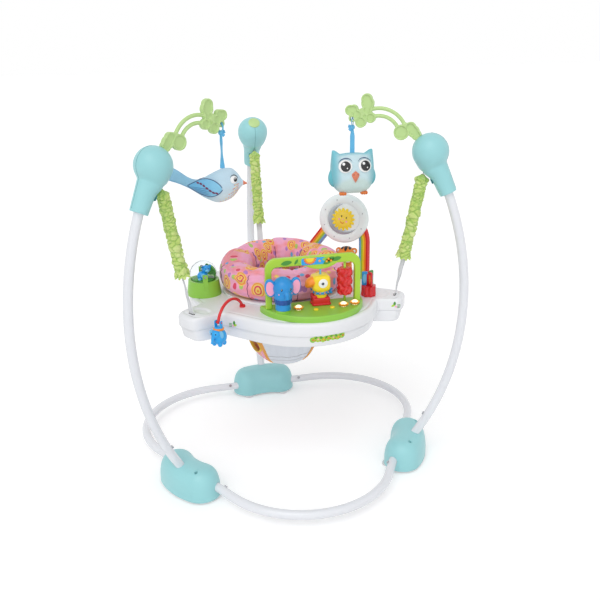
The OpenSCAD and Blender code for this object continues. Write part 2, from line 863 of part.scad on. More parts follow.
module springs() {
    hook_top = spring_span - spring_pin_d / 2 - fit_gap;
    at_axis() color(steel) for (angle = post_angles) on_spring(angle) {
        translate([0, 0, coil_start]) cylinder(h = spring_coil_len, d = spring_d);
        translate([0, 0, strap_len + soft_gap]) cylinder(h = hook_top - strap_len - soft_gap, d = spring_wire_d);
    }
}

// Gathered cloth: folds that wind round it, puffs along it, a narrow neck and a flared hem
function sleeve_r(a, s) =
    let(hem = exp(-s * sleeve_len / sleeve_hem_len * 2),
        neck = 1 - (1 - sleeve_neck_share) * pow(s, sleeve_puffs),
        folds = 1 + sleeve_fold_share * cos(sleeve_folds * a + sleeve_twist * s * sleeve_puffs),
        puffs = 1 + sleeve_puff_share * sin(360 * sleeve_puffs * s + a))
    (sleeve_d * (1 - hem) + sleeve_hem_d * hem) / 2 * neck * folds * puffs;

module sleeve(angle) {
    outer = [for (k = [0 : sleeve_rings]) [for (i = [0 : sleeve_sides - 1])
        let(a = i * 360 / sleeve_sides, s = k / sleeve_rings, r = sleeve_r(a, s)) [r * cos(a), r * sin(a), s * sleeve_len]]];
    inner = [for (z = [sleeve_len, 0]) [for (i = [0 : sleeve_sides - 1])
        let(a = i * 360 / sleeve_sides) [sleeve_bore_d / 2 * cos(a), sleeve_bore_d / 2 * sin(a), z]]];
    at_axis() color(sleeve_green) on_spring(angle) translate([0, 0, sleeve_start]) closed_loft(concat(outer, inner));
}

module left_sleeve() { sleeve(left_angle); }
module right_sleeve() { sleeve(right_angle); }
module rear_sleeve() { sleeve(rear_angle); }

module strap(angle) {
    at_axis() color(white) on_spring(angle) {
        translate([-strap_t / 2, -strap_w / 2, -strap_tail]) cube([strap_t, strap_w, strap_tail + strap_len]);
        translate([0, 0, -strap_tail]) rotate([90, 0, 0]) cylinder(h = strap_w, d = strap_bar_d, center = true);
    }
}

module left_strap() { strap(left_angle); }
module right_strap() { strap(right_angle); }
module rear_strap() { strap(rear_angle); }

// Tray: two shells with a wall round the seat hole
module seat_bore(r, from_z, to_z) {
    translate([0, 0, from_z]) cylinder(h = to_z - from_z, r = r, $fn = 96);
}

module at_tray_screws() {
    for (angle = tray_screw_angles) rotate([0, 0, angle]) translate([tray_screw_r, 0, 0]) children();
}

module strap_slots() {
    for (angle = post_angles) on_spring(angle) translate([0, 0, -tray_wall])
        cube([strap_t + 4 * soft_gap, strap_w + 2 * soft_gap, 4 * tray_wall], center = true);
}

module tray_top() {
    at_axis() color(white) {
        difference() {
            loft(concat([tray_ring(0, tray_split_z)], edge_rings(tray_edge_r, 0, tray_top_z)));
            difference() {
                loft([tray_ring(tray_wall, tray_split_z - over),
                    tray_ring(tray_wall, tray_top_z - tray_edge_r),
                    tray_ring(tray_wall + tray_edge_r / 2, tray_top_z - tray_wall)]);
                seat_bore(seat_hole_r + tray_wall, tray_split_z - over, tray_top_z);
                at_tray_screws() translate([0, 0, tray_split_z]) cylinder(h = tray_upper_h, d = tray_boss_d);
            }
            seat_bore(seat_hole_r, tray_split_z - over, tray_top_z + over);
            at_tray_screws() translate([0, 0, tray_split_z - over])
                cylinder(h = tray_screw_len, d = tray_screw_d + 2 * fit_gap);
            strap_slots();
        }
        translate([drum_x, -drum_y, tray_top_z - tray_wall / 2]) cylinder(h = drum_pin_h + tray_wall / 2, d = pivot_d);
    }
}

module door_block(gap, h) {
    translate([console_x - door_w / 2 - gap, -door_y - door_l / 2 - gap, tray_bottom_z])
        cube([door_w + 2 * gap, door_l + 2 * gap, h]);
}

module tray_bottom() {
    at_axis() color(white) difference() {
        loft([tray_ring(tray_draft_in + tray_edge_r, tray_bottom_z),
            tray_ring(tray_draft_in, tray_bottom_z + tray_edge_r / 2),
            tray_ring(tray_step_in, tray_split_z)]);
        difference() {
            loft([tray_ring(tray_draft_in + tray_edge_r + tray_wall, tray_bottom_z + tray_wall),
                tray_ring(tray_step_in + tray_wall, tray_split_z + over)]);
            seat_bore(seat_hole_r + tray_wall, tray_bottom_z, tray_split_z + over);
            at_tray_screws() translate([0, 0, tray_bottom_z])
                cylinder(h = tray_split_z - tray_bottom_z - fit_gap, d = tray_sink_d + 2 * tray_wall);
        }
        seat_bore(seat_hole_r, tray_bottom_z - over, tray_split_z + over);
        at_tray_screws() translate([0, 0, tray_bottom_z - over]) cylinder(h = tray_sink_h + over, d = tray_sink_d);
        at_tray_screws() translate([0, 0, tray_bottom_z]) cylinder(h = tray_h, d = tray_screw_d + 2 * fit_gap);
        translate([0, 0, -over]) door_block(fit_gap, tray_wall + 2 * over);
    }
}

module tray_screws() {
    at_axis() color(steel) at_tray_screws() translate([0, 0, tray_bottom_z + tray_sink_h]) {
        translate([0, 0, -tray_screw_head_h]) cylinder(h = tray_screw_head_h, d = tray_screw_head_d);
        cylinder(h = tray_screw_len, d = tray_screw_d);
    }
}

// Electrics
module battery_door() {
    at_axis() color(white) door_block(-fit_gap, tray_wall);
}

module batteries() {
    at_axis() color(steel) for (k = [0 : cell_count - 1])
        translate([console_x - cell_len / 2, -door_y + (k - (cell_count - 1) / 2) * cell_pitch,
            tray_bottom_z + tray_wall + fit_gap + cell_d / 2]) rotate([0, 90, 0]) cylinder(h = cell_len, d = cell_d);
}

module sound_module() {
    roof = tray_top_z - tray_wall - fit_gap;
    at_axis() {
        color(board_green) translate([board_x - board_w / 2, -sound_y - board_l / 2, roof - board_t])
            cube([board_w, board_l, board_t]);
        color(steel) translate([speaker_x, -sound_y, roof - speaker_h]) cylinder(h = speaker_h, d = speaker_d);
    }
}

// Console
module at_button(k) {
    translate([button_spots[k][0], -button_spots[k][1], console_z]) children();
}

module console_base() {
    at_axis() color(console_green) difference() {
        union() {
            intersection() {
                translate([console_x, -console_y, tray_top_z]) {
                    cylinder(h = console_h - console_edge, r = console_r);
                    translate([0, 0, console_h - console_edge])
                        cylinder(h = console_edge, r1 = console_r, r2 = console_r - console_edge);
                }
                translate([console_x - console_r, -console_y - console_r, tray_top_z])
                    cube([2 * console_r, console_r + console_y - console_back_y, console_h]);
            }
            translate([elephant_x, -elephant_y, console_z]) cylinder(h = stub_h, d = stub_d);
            translate([elephant_x, -elephant_y, console_z]) cylinder(h = stub_h + elephant_pin_h, d = pivot_d);
        }
        for (k = [0, 1]) at_button(k) translate([0, 0, -button_skirt - button_travel - over])
            cylinder(h = console_h, d = button_d + 2 * pivot_gap);
        translate([spinner_x, -arch_y, console_z - pin_bite]) cylinder(h = console_h, d = pivot_d + 2 * pivot_gap);
    }
}

module button(k) {
    at_axis() color(yellow) at_button(k) {
        translate([0, 0, -button_skirt]) cylinder(h = button_skirt + button_proud - over, d = button_d);
        translate([0, 0, button_proud - over]) cylinder(h = over, d1 = button_d, d2 = button_d - 2 * over);
    }
}

module left_button() { button(0); }
module right_button() { button(1); }

module round_block(w, h, r) {
    translate([-w / 2, 0]) square([w, h - r]);
    translate([-w / 2 + r, 0]) square([w - 2 * r, h]);
    for (side = [-1, 1]) translate([side * (w / 2 - r), h - r]) circle(r = r);
}

module console_arch() {
    at_axis() color(console_green) difference() {
        translate([arch_x, -arch_y, console_z]) rotate([90, 0, 0]) linear_extrude(arch_t, center = true) difference() {
            round_block(arch_w, arch_h, arch_corner_r);
            difference() {
                translate([0, -over]) round_block(arch_w - 2 * arch_leg_w, arch_open_h + over, arch_open_corner_r);
                translate([parrot_x - arch_x, arch_open_h - arch_dip + arch_dip_r]) circle(r = arch_dip_r);
            }
        }
        translate([parrot_x, -arch_y, console_z + arch_open_h - arch_dip - over])
            cylinder(h = pin_bite + over, d = parrot_pin_d + 2 * pivot_gap);
        translate([spinner_x, -arch_y, console_z]) cylinder(h = arch_open_h + pin_bite, d = pivot_d + 2 * pivot_gap);
    }
}

module lamp_lenses() {
    at_axis() color(clear) for (spot = lamp_spots) translate([spot[0], -spot[1], console_z]) {
        cylinder(h = lamp_base_h, d = lamp_d);
        translate([0, 0, lamp_base_h]) cylinder(h = lamp_dome_h, d1 = lamp_d, d2 = lamp_d / 2);
    }
}

// Console toys
module elephant_figure() {
    at_axis() color(sky_blue) translate([elephant_x, -elephant_y, console_z + stub_h + run_gap]) difference() {
        union() {
            cylinder(h = elephant_neck_h, d1 = elephant_base_d, d2 = elephant_neck_d);
            translate([0, 0, elephant_h - elephant_head_d / 2]) {
                sphere(d = elephant_head_d);
                for (side = [-1, 1]) translate([side * (elephant_w - elephant_ear_d) / 2, 0, 0]) rotate([90, 0, 0])
                    cylinder(h = elephant_ear_t, d = elephant_ear_d, center = true);
                translate([0, -elephant_head_d / 2, -elephant_head_d / 4]) sphere(d = elephant_trunk_d);
            }
        }
        translate([0, 0, -over]) cylinder(h = elephant_pin_h + over, d = pivot_d + 2 * pivot_gap);
    }
}

module parrot_perch() {
    at_axis() color(red) translate([parrot_x, -arch_y, console_z]) {
        translate([-perch_w / 2, -perch_l / 2, 0]) cube([perch_w, perch_l, perch_h]);
        cylinder(h = perch_h + elephant_pin_h, d = pivot_d);
    }
}

module parrot_figure() {
    head_z = parrot_h - parrot_head_d / 2;
    pin_top = arch_open_h - arch_dip + pin_bite - perch_h - 2 * run_gap;
    at_axis() color(yellow) translate([parrot_x, -arch_y, console_z + perch_h + run_gap]) difference() {
        union() {
            cylinder(h = head_z, d1 = parrot_base_d, d2 = parrot_head_d - over);
            translate([0, 0, head_z]) sphere(d = parrot_head_d);
            translate([0, 0, head_z]) rotate([0, -90, 0])
                cylinder(h = parrot_beak_reach, d1 = parrot_beak_d * 1.4, d2 = parrot_beak_d / 3);
            translate([0, 0, parrot_h / 5]) rotate([0, 90, 0]) cylinder(h = parrot_tail_reach, d = parrot_tail_d);
            translate([0, 0, head_z]) cylinder(h = pin_top - head_z, d = parrot_pin_d);
        }
        translate([0, 0, -over]) cylinder(h = elephant_pin_h + over, d = pivot_d + 2 * pivot_gap);
    }
}

function flute_points(d, count, share) = [for (a = [0 : 360 / count / 6 : 359.9])
    let(r = d / 2 * (1 - share + share * cos(count * a))) [r * cos(a), r * sin(a)]];

module fluted_spinner() {
    at_axis() color(red) translate([spinner_x, -arch_y, console_z]) {
        translate([0, 0, spinner_lift]) linear_extrude(spinner_h)
            polygon(flute_points(spinner_d, spinner_flutes, spinner_flute_share));
        translate([0, 0, run_gap - pin_bite]) cylinder(h = arch_open_h + 2 * pin_bite - 2 * run_gap, d = pivot_d);
    }
}

// Rainbow stand: a striped arch across the tray with a round housing at its crown
module on_stand() {
    rotate([0, 0, stand_angle]) translate([stand_r, -stand_shift, tray_top_z]) children();
}

module on_disc() {
    on_stand() translate([-disc_out, disc_side, disc_rise]) rotate([0, 0, disc_turn]) rotate([0, -90, 0]) children();
}

// Upright leg, bow and slanted leg of the rainbow: the upright leg's middle is at zero
module rainbow_band() {
    bow = [stand_bow_r, stand_leg_h];
    reach = stand_bow_r + stand_band;
    end = 90 - stand_slant;
    translate([-stand_band / 2, 0]) square([stand_band, stand_leg_h + over]);
    translate(bow) intersection() {
        difference() {
            circle(r = stand_bow_r + stand_band / 2);
            circle(r = stand_bow_r - stand_band / 2);
        }
        polygon([[0, 0], [-2 * reach, 0], [-2 * reach, 2 * reach], [2 * reach * cos(end), 2 * reach],
            [2 * reach * cos(end), 2 * reach * sin(end)]]);
    }
    intersection() {
        translate(bow + stand_bow_r * [cos(end), sin(end)]) rotate(-stand_slant)
            translate([-over, -stand_band / 2]) square([4 * stand_leg_h, stand_band]);
        square(4 * stand_leg_h);
    }
}

module rainbow_stand() {
    at_axis() color(white) difference() {
        union() {
            on_stand() rotate([90, 0, 90]) linear_extrude(stand_t, center = true) rainbow_band();
            on_disc() {
                translate([0, 0, -disc_t / 2 - disc_back_len])
                    cylinder(h = disc_back_len + over, d1 = disc_back_d, d2 = disc_d);
                translate([0, 0, -disc_t / 2]) cylinder(h = disc_t - disc_edge, d = disc_d);
                translate([0, 0, disc_t / 2 - disc_edge]) cylinder(h = disc_edge, d1 = disc_d, d2 = disc_d - 2 * disc_edge);
            }
        }
        on_disc() translate([0, 0, disc_t / 2 - sun_recess]) difference() {
            cylinder(h = disc_t, d = sun_d + 2 * run_gap);
            translate([0, 0, -over]) cylinder(h = sun_recess + over, d = pivot_d);
        }
    }
}

module sun_disc() {
    at_axis() color(yellow) on_disc() translate([0, 0, disc_t / 2 - sun_recess + sun_lift]) difference() {
        union() {
            cylinder(h = sun_t, d = sun_d);
            linear_extrude(sun_t + sun_relief) polygon(flute_points(sun_face_d, sun_rays, (1 - sun_ray_share) / 2));
            linear_extrude(sun_t + sun_relief) difference() {
                circle(d = moon_d);
                translate([0, -moon_shift]) circle(d = moon_bite_d);
                translate([-moon_d, -moon_d * 1.5]) square(2 * moon_d * 0.9);
            }
        }
        translate([0, 0, -over]) cylinder(h = sun_t + sun_relief, d = pivot_d + 2 * pivot_gap);
    }
}

module tiger_figure() {
    at_axis() color(orange) on_stand() translate([0, tiger_side, 0]) rotate([0, 0, disc_turn]) {
        cylinder(h = tiger_rise, d1 = tiger_foot_d, d2 = tiger_neck_d);
        translate([0, 0, tiger_rise]) {
            sphere(d = tiger_d);
            for (side = [-1, 1]) translate([0, side * tiger_d / 2 * tiger_ear_share, tiger_d * 0.32])
                sphere(d = tiger_ear_d);
        }
    }
}

// Clear ball in its cradle: it turns on two pins that lie along the tray's rim
module at_globe() {
    rotate([0, 0, globe_angle]) translate([globe_r, 0, tray_top_z + globe_rise]) children();
}

module ball_cradle() {
    ear_y = globe_d / 2 + run_gap;
    at_axis() color(console_green) at_globe() difference() {
        union() {
            translate([0, 0, -globe_rise]) cylinder(h = cradle_h, d1 = cradle_base_d, d2 = cradle_rim_d);
            for (side = [-1, 1]) translate([-globe_pin_d, side * (ear_y + cradle_t / 2) - cradle_t / 2, -globe_rise])
                cube([2 * globe_pin_d, cradle_t, globe_rise + globe_pin_d]);
        }
        sphere(d = globe_d + 2 * run_gap);
        rotate([90, 0, 0]) cylinder(h = 2 * globe_d, d = globe_pin_d + 2 * pivot_gap, center = true);
    }
}

module clear_ball() {
    at_axis() color(clear) at_globe() {
        difference() {
            sphere(d = globe_d);
            sphere(d = globe_d - 2 * globe_wall);
        }
        for (side = [-1, 1]) rotate([side * 90, 0, 0]) translate([0, 0, globe_d / 2 - globe_wall / 2])
            cylinder(h = globe_pin_len + globe_wall / 2, d = globe_pin_d);
    }
}

module ball_figure() {
    at_axis() color(sky_blue) at_globe() {
        translate([0, 0, -globe_plate_t]) cylinder(h = globe_plate_t, d = globe_d - 2 * globe_wall - 2 * fit_gap);
        cylinder(h = globe_figure_h / 2, d1 = globe_figure_d, d2 = globe_figure_d / 2);
        translate([0, 0, globe_figure_h * 0.6]) sphere(d = globe_figure_d * 0.8);
    }
}

// Picture drum: a scalloped foot with three upright panels
module picture_drum() {
    at_axis() color(red) translate([drum_x, -drum_y, tray_top_z + run_gap]) difference() {
        union() {
            linear_extrude(drum_foot_h) polygon(flute_points(drum_d, drum_scallops, drum_scallop_share));
            translate([0, 0, drum_foot_h]) for (k = [0 : drum_panels - 1]) rotate([0, 0, k * 360 / drum_panels])
                translate([0, -drum_panel_t / 2, -over]) cube([drum_d / 2 * 0.85, drum_panel_t, drum_h - drum_foot_h + over]);
            cylinder(h = drum_h * 0.9, d = pivot_d * 2);
        }
        translate([0, 0, -over]) cylinder(h = drum_pin_h + over, d = pivot_d + 2 * pivot_gap);
    }
}

// Toy stem and its calf
module on_stem() {
    rotate([0, 0, stem_angle]) children();
}

module at_stem_tip() {
    on_stem() translate([stem_tip_r, 0, stem_tip_z]) children();
}

module toy_stem() {
    at_axis() color(red) {
        on_stem() translate([stem_centre_r, 0, tray_top_z - stem_centre_drop]) rotate([90, 0, 0]) rotate([0, 0, stem_end])
            rotate_extrude(angle = stem_start - stem_end) translate([stem_bow_r, 0]) circle(d = stem_d);
        on_stem() translate([stem_centre_r - stem_bow_r * cos(180 - stem_start), 0, tray_top_z])
            cylinder(h = stem_foot_h, d = stem_foot_d);
        at_stem_tip() {
            sphere(d = stem_d + over);
            rotate([90, 0, 0]) cylinder(h = stem_pin_len, d = stem_pin_d, center = true);
        }
    }
}

module hanging_elephant() {
    at_axis() color(sky_blue) at_stem_tip() difference() {
        union() {
            for (side = [-1, 1]) translate([0, side * (calf_tab_out + calf_tab_t / 2), 0]) {
                rotate([90, 0, 0]) cylinder(h = calf_tab_t, d = calf_tab_d, center = true);
                translate([-calf_tab_d / 2, -calf_tab_t / 2, -calf_drop]) cube([calf_tab_d, calf_tab_t, calf_drop]);
            }
            translate([0, 0, -calf_drop - calf_d * 0.1]) sphere(d = calf_d);
            translate([calf_d * 0.36, 0, -calf_head_drop]) sphere(d = calf_head_d);
            for (side = [-1, 1]) translate([calf_d * 0.3, side * calf_head_d * 0.5, -calf_head_drop])
                rotate([0, 90, 0]) cylinder(h = calf_ear_t, d = calf_ear_d, center = true);
        }
        rotate([90, 0, 0]) cylinder(h = 2 * stem_pin_len, d = stem_pin_d + 2 * pivot_gap, center = true);
        sphere(d = stem_d + over + 4 * run_gap);
        rotate([90, 0, 0]) cylinder(h = 2 * calf_tab_out, d = calf_tab_d + calf_tab_t, center = true);
    }
}

// Seat
module seat_ring() {
    at_axis() color(white) rotate_extrude($fn = 96) polygon([[skirt_bore_r, skirt_end_z], [skirt_r, skirt_end_z],
        [skirt_r, flange_z], [flange_r, flange_z], [flange_r, flange_z + flange_t - over],
        [flange_r - over, flange_z + flange_t], [skirt_bore_r, flange_z + flange_t]]);
}

module seat_lower_ring() {
    at_axis() color(white) translate([0, 0, skirt_end_z - lower_ring_t]) rotate_extrude($fn = 96)
        translate([skirt_bore_r, 0]) square([seat_hole_r + lower_ring_w - skirt_bore_r, lower_ring_t]);
}

// Padded ring: a squarish crowned section, taller at the back, drawn in at each sewn seam
function collar_ring(a) =
    let(seam = 1 - collar_seam_share * pow(abs(cos(collar_seams * a / 2)), 12),
        mid = (collar_d + collar_bore_d) / 4,
        half = (collar_d - collar_bore_d) / 4 * seam,
        h = (collar_h + collar_back_h * max(sin(a), 0)) * seam)
    [for (i = [0 : collar_sides - 1])
        let(t = i * 360 / collar_sides,
            r = mid - half * signed_pow(cos(t), collar_square_share),
            z = collar_z + h / 2 * (1 + signed_pow(sin(t), collar_square_share)))
        [r * cos(a), r * sin(a), z]];

module seat_collar() {
    at_axis() color(pink) closed_loft([for (k = [0 : collar_rings - 1]) collar_ring(k * 360 / collar_rings)]);
}

function sling_ring(station, shrink, lift) = [for (i = [0 : sling_sides - 1])
    let(a = i * 360 / sling_sides,
        folds = 1 + sling_fold_share * station[2] * cos(sling_folds * a / 2),
        r = sling_r * station[1] * folds - shrink)
    [r * cos(a), r * sin(a), sling_top_z - sling_depth * (1 - station[0]) + lift * (1 - station[0])]];

module seat_sling() {
    last = len(sling_shares) - 1;
    at_axis() color(pink) difference() {
        loft(concat([for (k = [0 : last]) sling_ring(sling_shares[k], 0, 0)],
            [for (k = [last : -1 : 0]) sling_ring(sling_shares[k], sling_t, sling_t)]));
        translate([0, -leg_hole_y, sling_top_z - sling_depth + leg_hole_rise]) rotate([0, 90, 0])
            cylinder(h = seat_hole_d, d = leg_hole_d, center = true);
    }
}

// Plush toys hang from the arms' ribbon holes
module at_hook(angle) {
    rotate([0, 0, angle]) translate([hook_r, 0, hook_z]) children();
}

module at_toy(angle) {
    at_hook(angle) rotate([0, 0, toy_turn - angle]) children();
}

// Ribbon: a loop through the arm's hole, a knot below the arm and one flat length
module ribbon(angle, length) {
    side_y = arm_t / 2 + soft_gap;
    at_axis() color(ribbon_blue) {
        at_hook(angle) {
            rotate([90, 0, 0]) cylinder(h = 2 * (side_y + ribbon_t), d = loop_bar_d, center = true);
            for (side = [-1, 1]) translate([-loop_bar_d / 2, side * (side_y + ribbon_t / 2) - ribbon_t / 2, -loop_drop - knot_h])
                cube([loop_bar_d, ribbon_t, loop_drop + knot_h]);
            translate([-loop_bar_d / 2, -side_y - ribbon_t, -loop_drop - knot_h])
                cube([loop_bar_d, 2 * (side_y + ribbon_t), knot_h / 2]);
        }
        at_toy(angle) translate([-ribbon_w / 2, -ribbon_t / 2, -length]) cube([ribbon_w, ribbon_t, length - loop_drop - knot_h / 2]);
    }
}

module bird_ribbon() { ribbon(left_angle, bird_ribbon_len); }
module owl_ribbon() { ribbon(right_angle, owl_ribbon_len); }

function oval_ring(x, rise, h, depth, out) = [for (i = [0 : bird_sides - 1]) let(t = i * 360 / bird_sides)
    [x, out + depth / 2 * cos(t), rise + h / 2 * sin(t)]];

module at_bird() {
    at_toy(left_angle) translate([-bird_hang_share * bird_len, 0, -bird_ribbon_len - bird_h * bird_top_share - soft_gap]) children();
}

module bird_shape() {
    loft([for (s = bird_shares) oval_ring(s[0] * bird_len, s[1] * bird_h, s[2] * bird_h, s[3] * bird_depth, 0)]);
}

module bird_body() {
    at_axis() color(plush_blue) at_bird() bird_shape();
}

module bird_wings() {
    at_axis() color(sky_blue) at_bird() for (side = [-1, 1]) difference() {
        loft([for (s = wing_shares)
            oval_ring(s[0] * bird_len, s[1] * bird_h, s[2] * bird_h, s[3] * wing_t, side * wing_out_share * bird_depth)]);
        bird_shape();
    }
}

module at_owl() {
    at_toy(right_angle) translate([0, 0, -owl_ribbon_len - owl_h - soft_gap]) children();
}

function owl_ring(s) = [for (i = [0 : owl_sides - 1])
    let(t = i * 360 / owl_sides, x = signed_pow(cos(t), owl_square_share), y = signed_pow(sin(t), owl_square_share))
    [owl_w / 2 * s[1] * x, owl_depth / 2 * s[2] * y, owl_h * s[0] + owl_ear_h * s[3] * pow(abs(cos(t)), 8)]];

module owl_shape() {
    loft([for (s = owl_shares) owl_ring(s)]);
}

module owl_body() {
    at_axis() color(plush_blue) at_owl() owl_shape();
}

module owl_limbs() {
    at_axis() color(orange) at_owl() for (side = [-1, 1]) {
        difference() {
            loft([for (s = owl_wing_shares) [for (i = [0 : bird_sides - 1]) let(t = i * 360 / bird_sides)
                [side * owl_w * 0.45 + owl_wing_w / 2 * s[1] * 2 * cos(t), owl_wing_t / 2 * s[2] * sin(t), owl_h * s[0]]]]);
            owl_shape();
        }
        difference() {
            translate([side * owl_w * owl_foot_out_share, -owl_depth * 0.12, owl_foot_d * 0.12]) sphere(d = owl_foot_d);
            owl_shape();
        }
    }
}

front_base_tube();
right_base_tube();
left_base_tube();
left_post();
right_post();
rear_post();
left_hub_cover();
right_hub_cover();
rear_hub_cover();
hub_soles();
foot_pads();
frame_screws();
left_head_shells();
right_head_shells();
rear_head_shells();
spring_pins();
left_toy_arm();
right_toy_arm();
rear_socket_cap();
springs();
left_sleeve();
right_sleeve();
rear_sleeve();
tray_top();
tray_bottom();
tray_screws();
left_strap();
right_strap();
rear_strap();
console_base();
console_arch();
lamp_lenses();
sound_module();
batteries();
battery_door();
parrot_perch();
rainbow_stand();
tiger_figure();
ball_cradle();
toy_stem();
elephant_figure();
parrot_figure();
fluted_spinner();
sun_disc();
clear_ball();
ball_figure();
picture_drum();
hanging_elephant();
left_button();
right_button();
seat_ring();
seat_lower_ring();
seat_collar();
seat_sling();
bird_body();
bird_wings();
bird_ribbon();
owl_body();
owl_limbs();
owl_ribbon();
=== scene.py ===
# %% [markdown]
# # Baby jumper frame
# Three bowed posts stand on a rounded floor ring and carry a toy tray on three sleeved springs. A cloth
# seat turns in the tray, and two stuffed animals hang from leafy arms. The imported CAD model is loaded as
# a fixed frame. Hard pieces whose shape is right keep their CAD mesh and get a finish here. Cloth,
# stuffing, figures and the moulded tray are surfaces worked out with numpy.

# %% Load the frame
import math

import bmesh
import bpy
import numpy as np
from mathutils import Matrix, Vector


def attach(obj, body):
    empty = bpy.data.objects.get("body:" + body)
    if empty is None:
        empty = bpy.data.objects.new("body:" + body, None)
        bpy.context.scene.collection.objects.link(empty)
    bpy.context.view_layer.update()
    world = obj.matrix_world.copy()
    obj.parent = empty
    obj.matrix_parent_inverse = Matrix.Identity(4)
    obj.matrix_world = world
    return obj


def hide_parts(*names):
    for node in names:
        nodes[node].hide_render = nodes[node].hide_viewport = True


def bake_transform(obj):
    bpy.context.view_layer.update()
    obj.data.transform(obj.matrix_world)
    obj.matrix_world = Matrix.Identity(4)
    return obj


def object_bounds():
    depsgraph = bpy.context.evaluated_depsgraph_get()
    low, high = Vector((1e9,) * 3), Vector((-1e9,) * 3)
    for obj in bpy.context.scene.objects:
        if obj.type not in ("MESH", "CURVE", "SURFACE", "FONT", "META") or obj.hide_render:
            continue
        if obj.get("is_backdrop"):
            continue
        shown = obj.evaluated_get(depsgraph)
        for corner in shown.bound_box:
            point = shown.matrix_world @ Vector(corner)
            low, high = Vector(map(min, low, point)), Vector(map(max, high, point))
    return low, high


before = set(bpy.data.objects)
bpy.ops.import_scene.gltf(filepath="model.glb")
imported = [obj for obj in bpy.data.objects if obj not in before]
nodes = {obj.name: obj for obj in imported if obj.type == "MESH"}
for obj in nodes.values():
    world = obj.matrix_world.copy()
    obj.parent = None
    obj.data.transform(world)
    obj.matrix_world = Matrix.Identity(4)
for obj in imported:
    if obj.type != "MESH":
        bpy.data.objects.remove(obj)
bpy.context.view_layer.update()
scene = bpy.context.scene
scene.view_settings.view_transform = "Standard"

# %% [markdown]
# ## Camera
# The camera stands where the photograph was taken from: a little to the left, nineteen degrees up, two
# and a quarter metres away, with a slight roll. A Track To constraint could aim it, but knows no roll, so
# its axes are written straight into its matrix.

# %% Camera
AXIS_Y = -0.028
azimuth, elevation, roll = np.radians([-13.73, 19.14, -0.89])
target, distance = np.array([0.1093, 0.2671 + AXIS_Y, 0.3099]), 2.217
back = np.array([math.sin(azimuth) * math.cos(elevation), -math.cos(azimuth) * math.cos(elevation),
                 math.sin(elevation)])
level_right = np.cross(-back, [0, 0, 1])
level_right /= np.linalg.norm(level_right)
level_up = np.cross(level_right, -back)
right = level_right * math.cos(roll) + level_up * math.sin(roll)
up = level_up * math.cos(roll) - level_right * math.sin(roll)
matrix = np.eye(4)
matrix[:3, 0], matrix[:3, 1], matrix[:3, 2], matrix[:3, 3] = right, up, back, target + distance * back
camera = bpy.data.objects.new("camera", bpy.data.cameras.new("camera"))
scene.collection.objects.link(camera)
camera.data.lens = 44.26
camera.data.sensor_width = 36
camera.matrix_world = matrix.T.tolist()
scene.camera = camera
print("camera at", matrix[:3, 3].round(3))

# %% [markdown]
# ## Light and floor
# The object stands in a pale studio. A picture of a studio could light it, but a few nodes do that
# without a file: a world that is brighter overhead than at the horizon, a broad soft sun, and a wide fill
# from the front. The camera, mirrors and clear plastic see plain white instead of that world, so the
# background is white at a plain level of light.

# %% Studio


def feed(tree, socket, value):
    """Sets a socket to a number or a colour, or links another node's output to it."""
    if isinstance(value, (int, float, tuple)):
        socket.default_value = value
    else:
        tree.links.new(value, socket)


def add_node(tree, kind, **inputs):
    """New shader node with numbers, colours or links on its named inputs."""
    node = tree.nodes.new("ShaderNode" + kind)
    for label, value in inputs.items():
        feed(tree, node.inputs[label], value)
    return node


def maths(tree, operation, a, b=None, c=None, clamp=False):
    """Math node with links or numbers on its inputs; returns its output."""
    node = add_node(tree, "Math")
    node.operation = operation
    node.use_clamp = clamp
    for socket, value in zip(node.inputs, (a, b, c)):
        if value is not None:
            feed(tree, socket, value)
    return node.outputs[0]


def seen_directly(tree):
    """1 for a ray from the camera, from a mirror or through glass, 0 for a ray that brings light."""
    path = add_node(tree, "LightPath")
    total = path.outputs["Is Camera Ray"]
    for kind in ("Is Glossy Ray", "Is Transmission Ray"):
        total = maths(tree, "ADD", total, path.outputs[kind], clamp=True)
    return total


world = bpy.data.worlds.new("studio")
scene.world = world
world.use_nodes = True
tree = world.node_tree
tree.nodes.clear()
coordinate = add_node(tree, "TexCoord")
split = add_node(tree, "SeparateXYZ", Vector=coordinate.outputs["Generated"])
ramp = add_node(tree, "ValToRGB", Fac=split.outputs["Z"])
HORIZON, OVERHEAD = (0.0, (0.525, 0.53, 0.545, 1)), (0.9, (0.69, 0.69, 0.69, 1))
for stop, (place, shade) in zip(ramp.color_ramp.elements, (HORIZON, OVERHEAD)):
    stop.position = place
    stop.color = shade
sky = add_node(tree, "Background", Color=ramp.outputs["Color"])
shown = add_node(tree, "Background", Color=(1, 1, 1, 1))
mix = add_node(tree, "MixShader", Fac=seen_directly(tree))
tree.links.new(sky.outputs[0], mix.inputs[1])
tree.links.new(shown.outputs[0], mix.inputs[2])
add_node(tree, "OutputWorld", Surface=mix.outputs[0])

for name, energy, spread, tilt, turn in (
        ("soft_sun", 0.54, 35, 38, -35), ("front_fill", 0.74, 90, 68, -14)):
    lamp = bpy.data.objects.new(name, bpy.data.lights.new(name, "SUN"))
    lamp.data.energy = energy
    lamp.data.angle = math.radians(spread)
    lamp.rotation_euler = (math.radians(tilt), 0, math.radians(turn))
    scene.collection.objects.link(lamp)
    print(name, "strength", energy, "spread", spread)

# %% [markdown]
# ## Building blocks
# The object's rounded, turned and padded parts could be modelled by hand, but as formulas they can be
# changed in one place. Every new piece is one or more grids of points. A grid is a function of two
# parameters, worked out as whole arrays, and a piece joins its grids into one mesh, welds poles and seams
# and turns all faces outwards.

# %% Grids to pieces
WELD, SLIVER = 2e-6, 1e-7


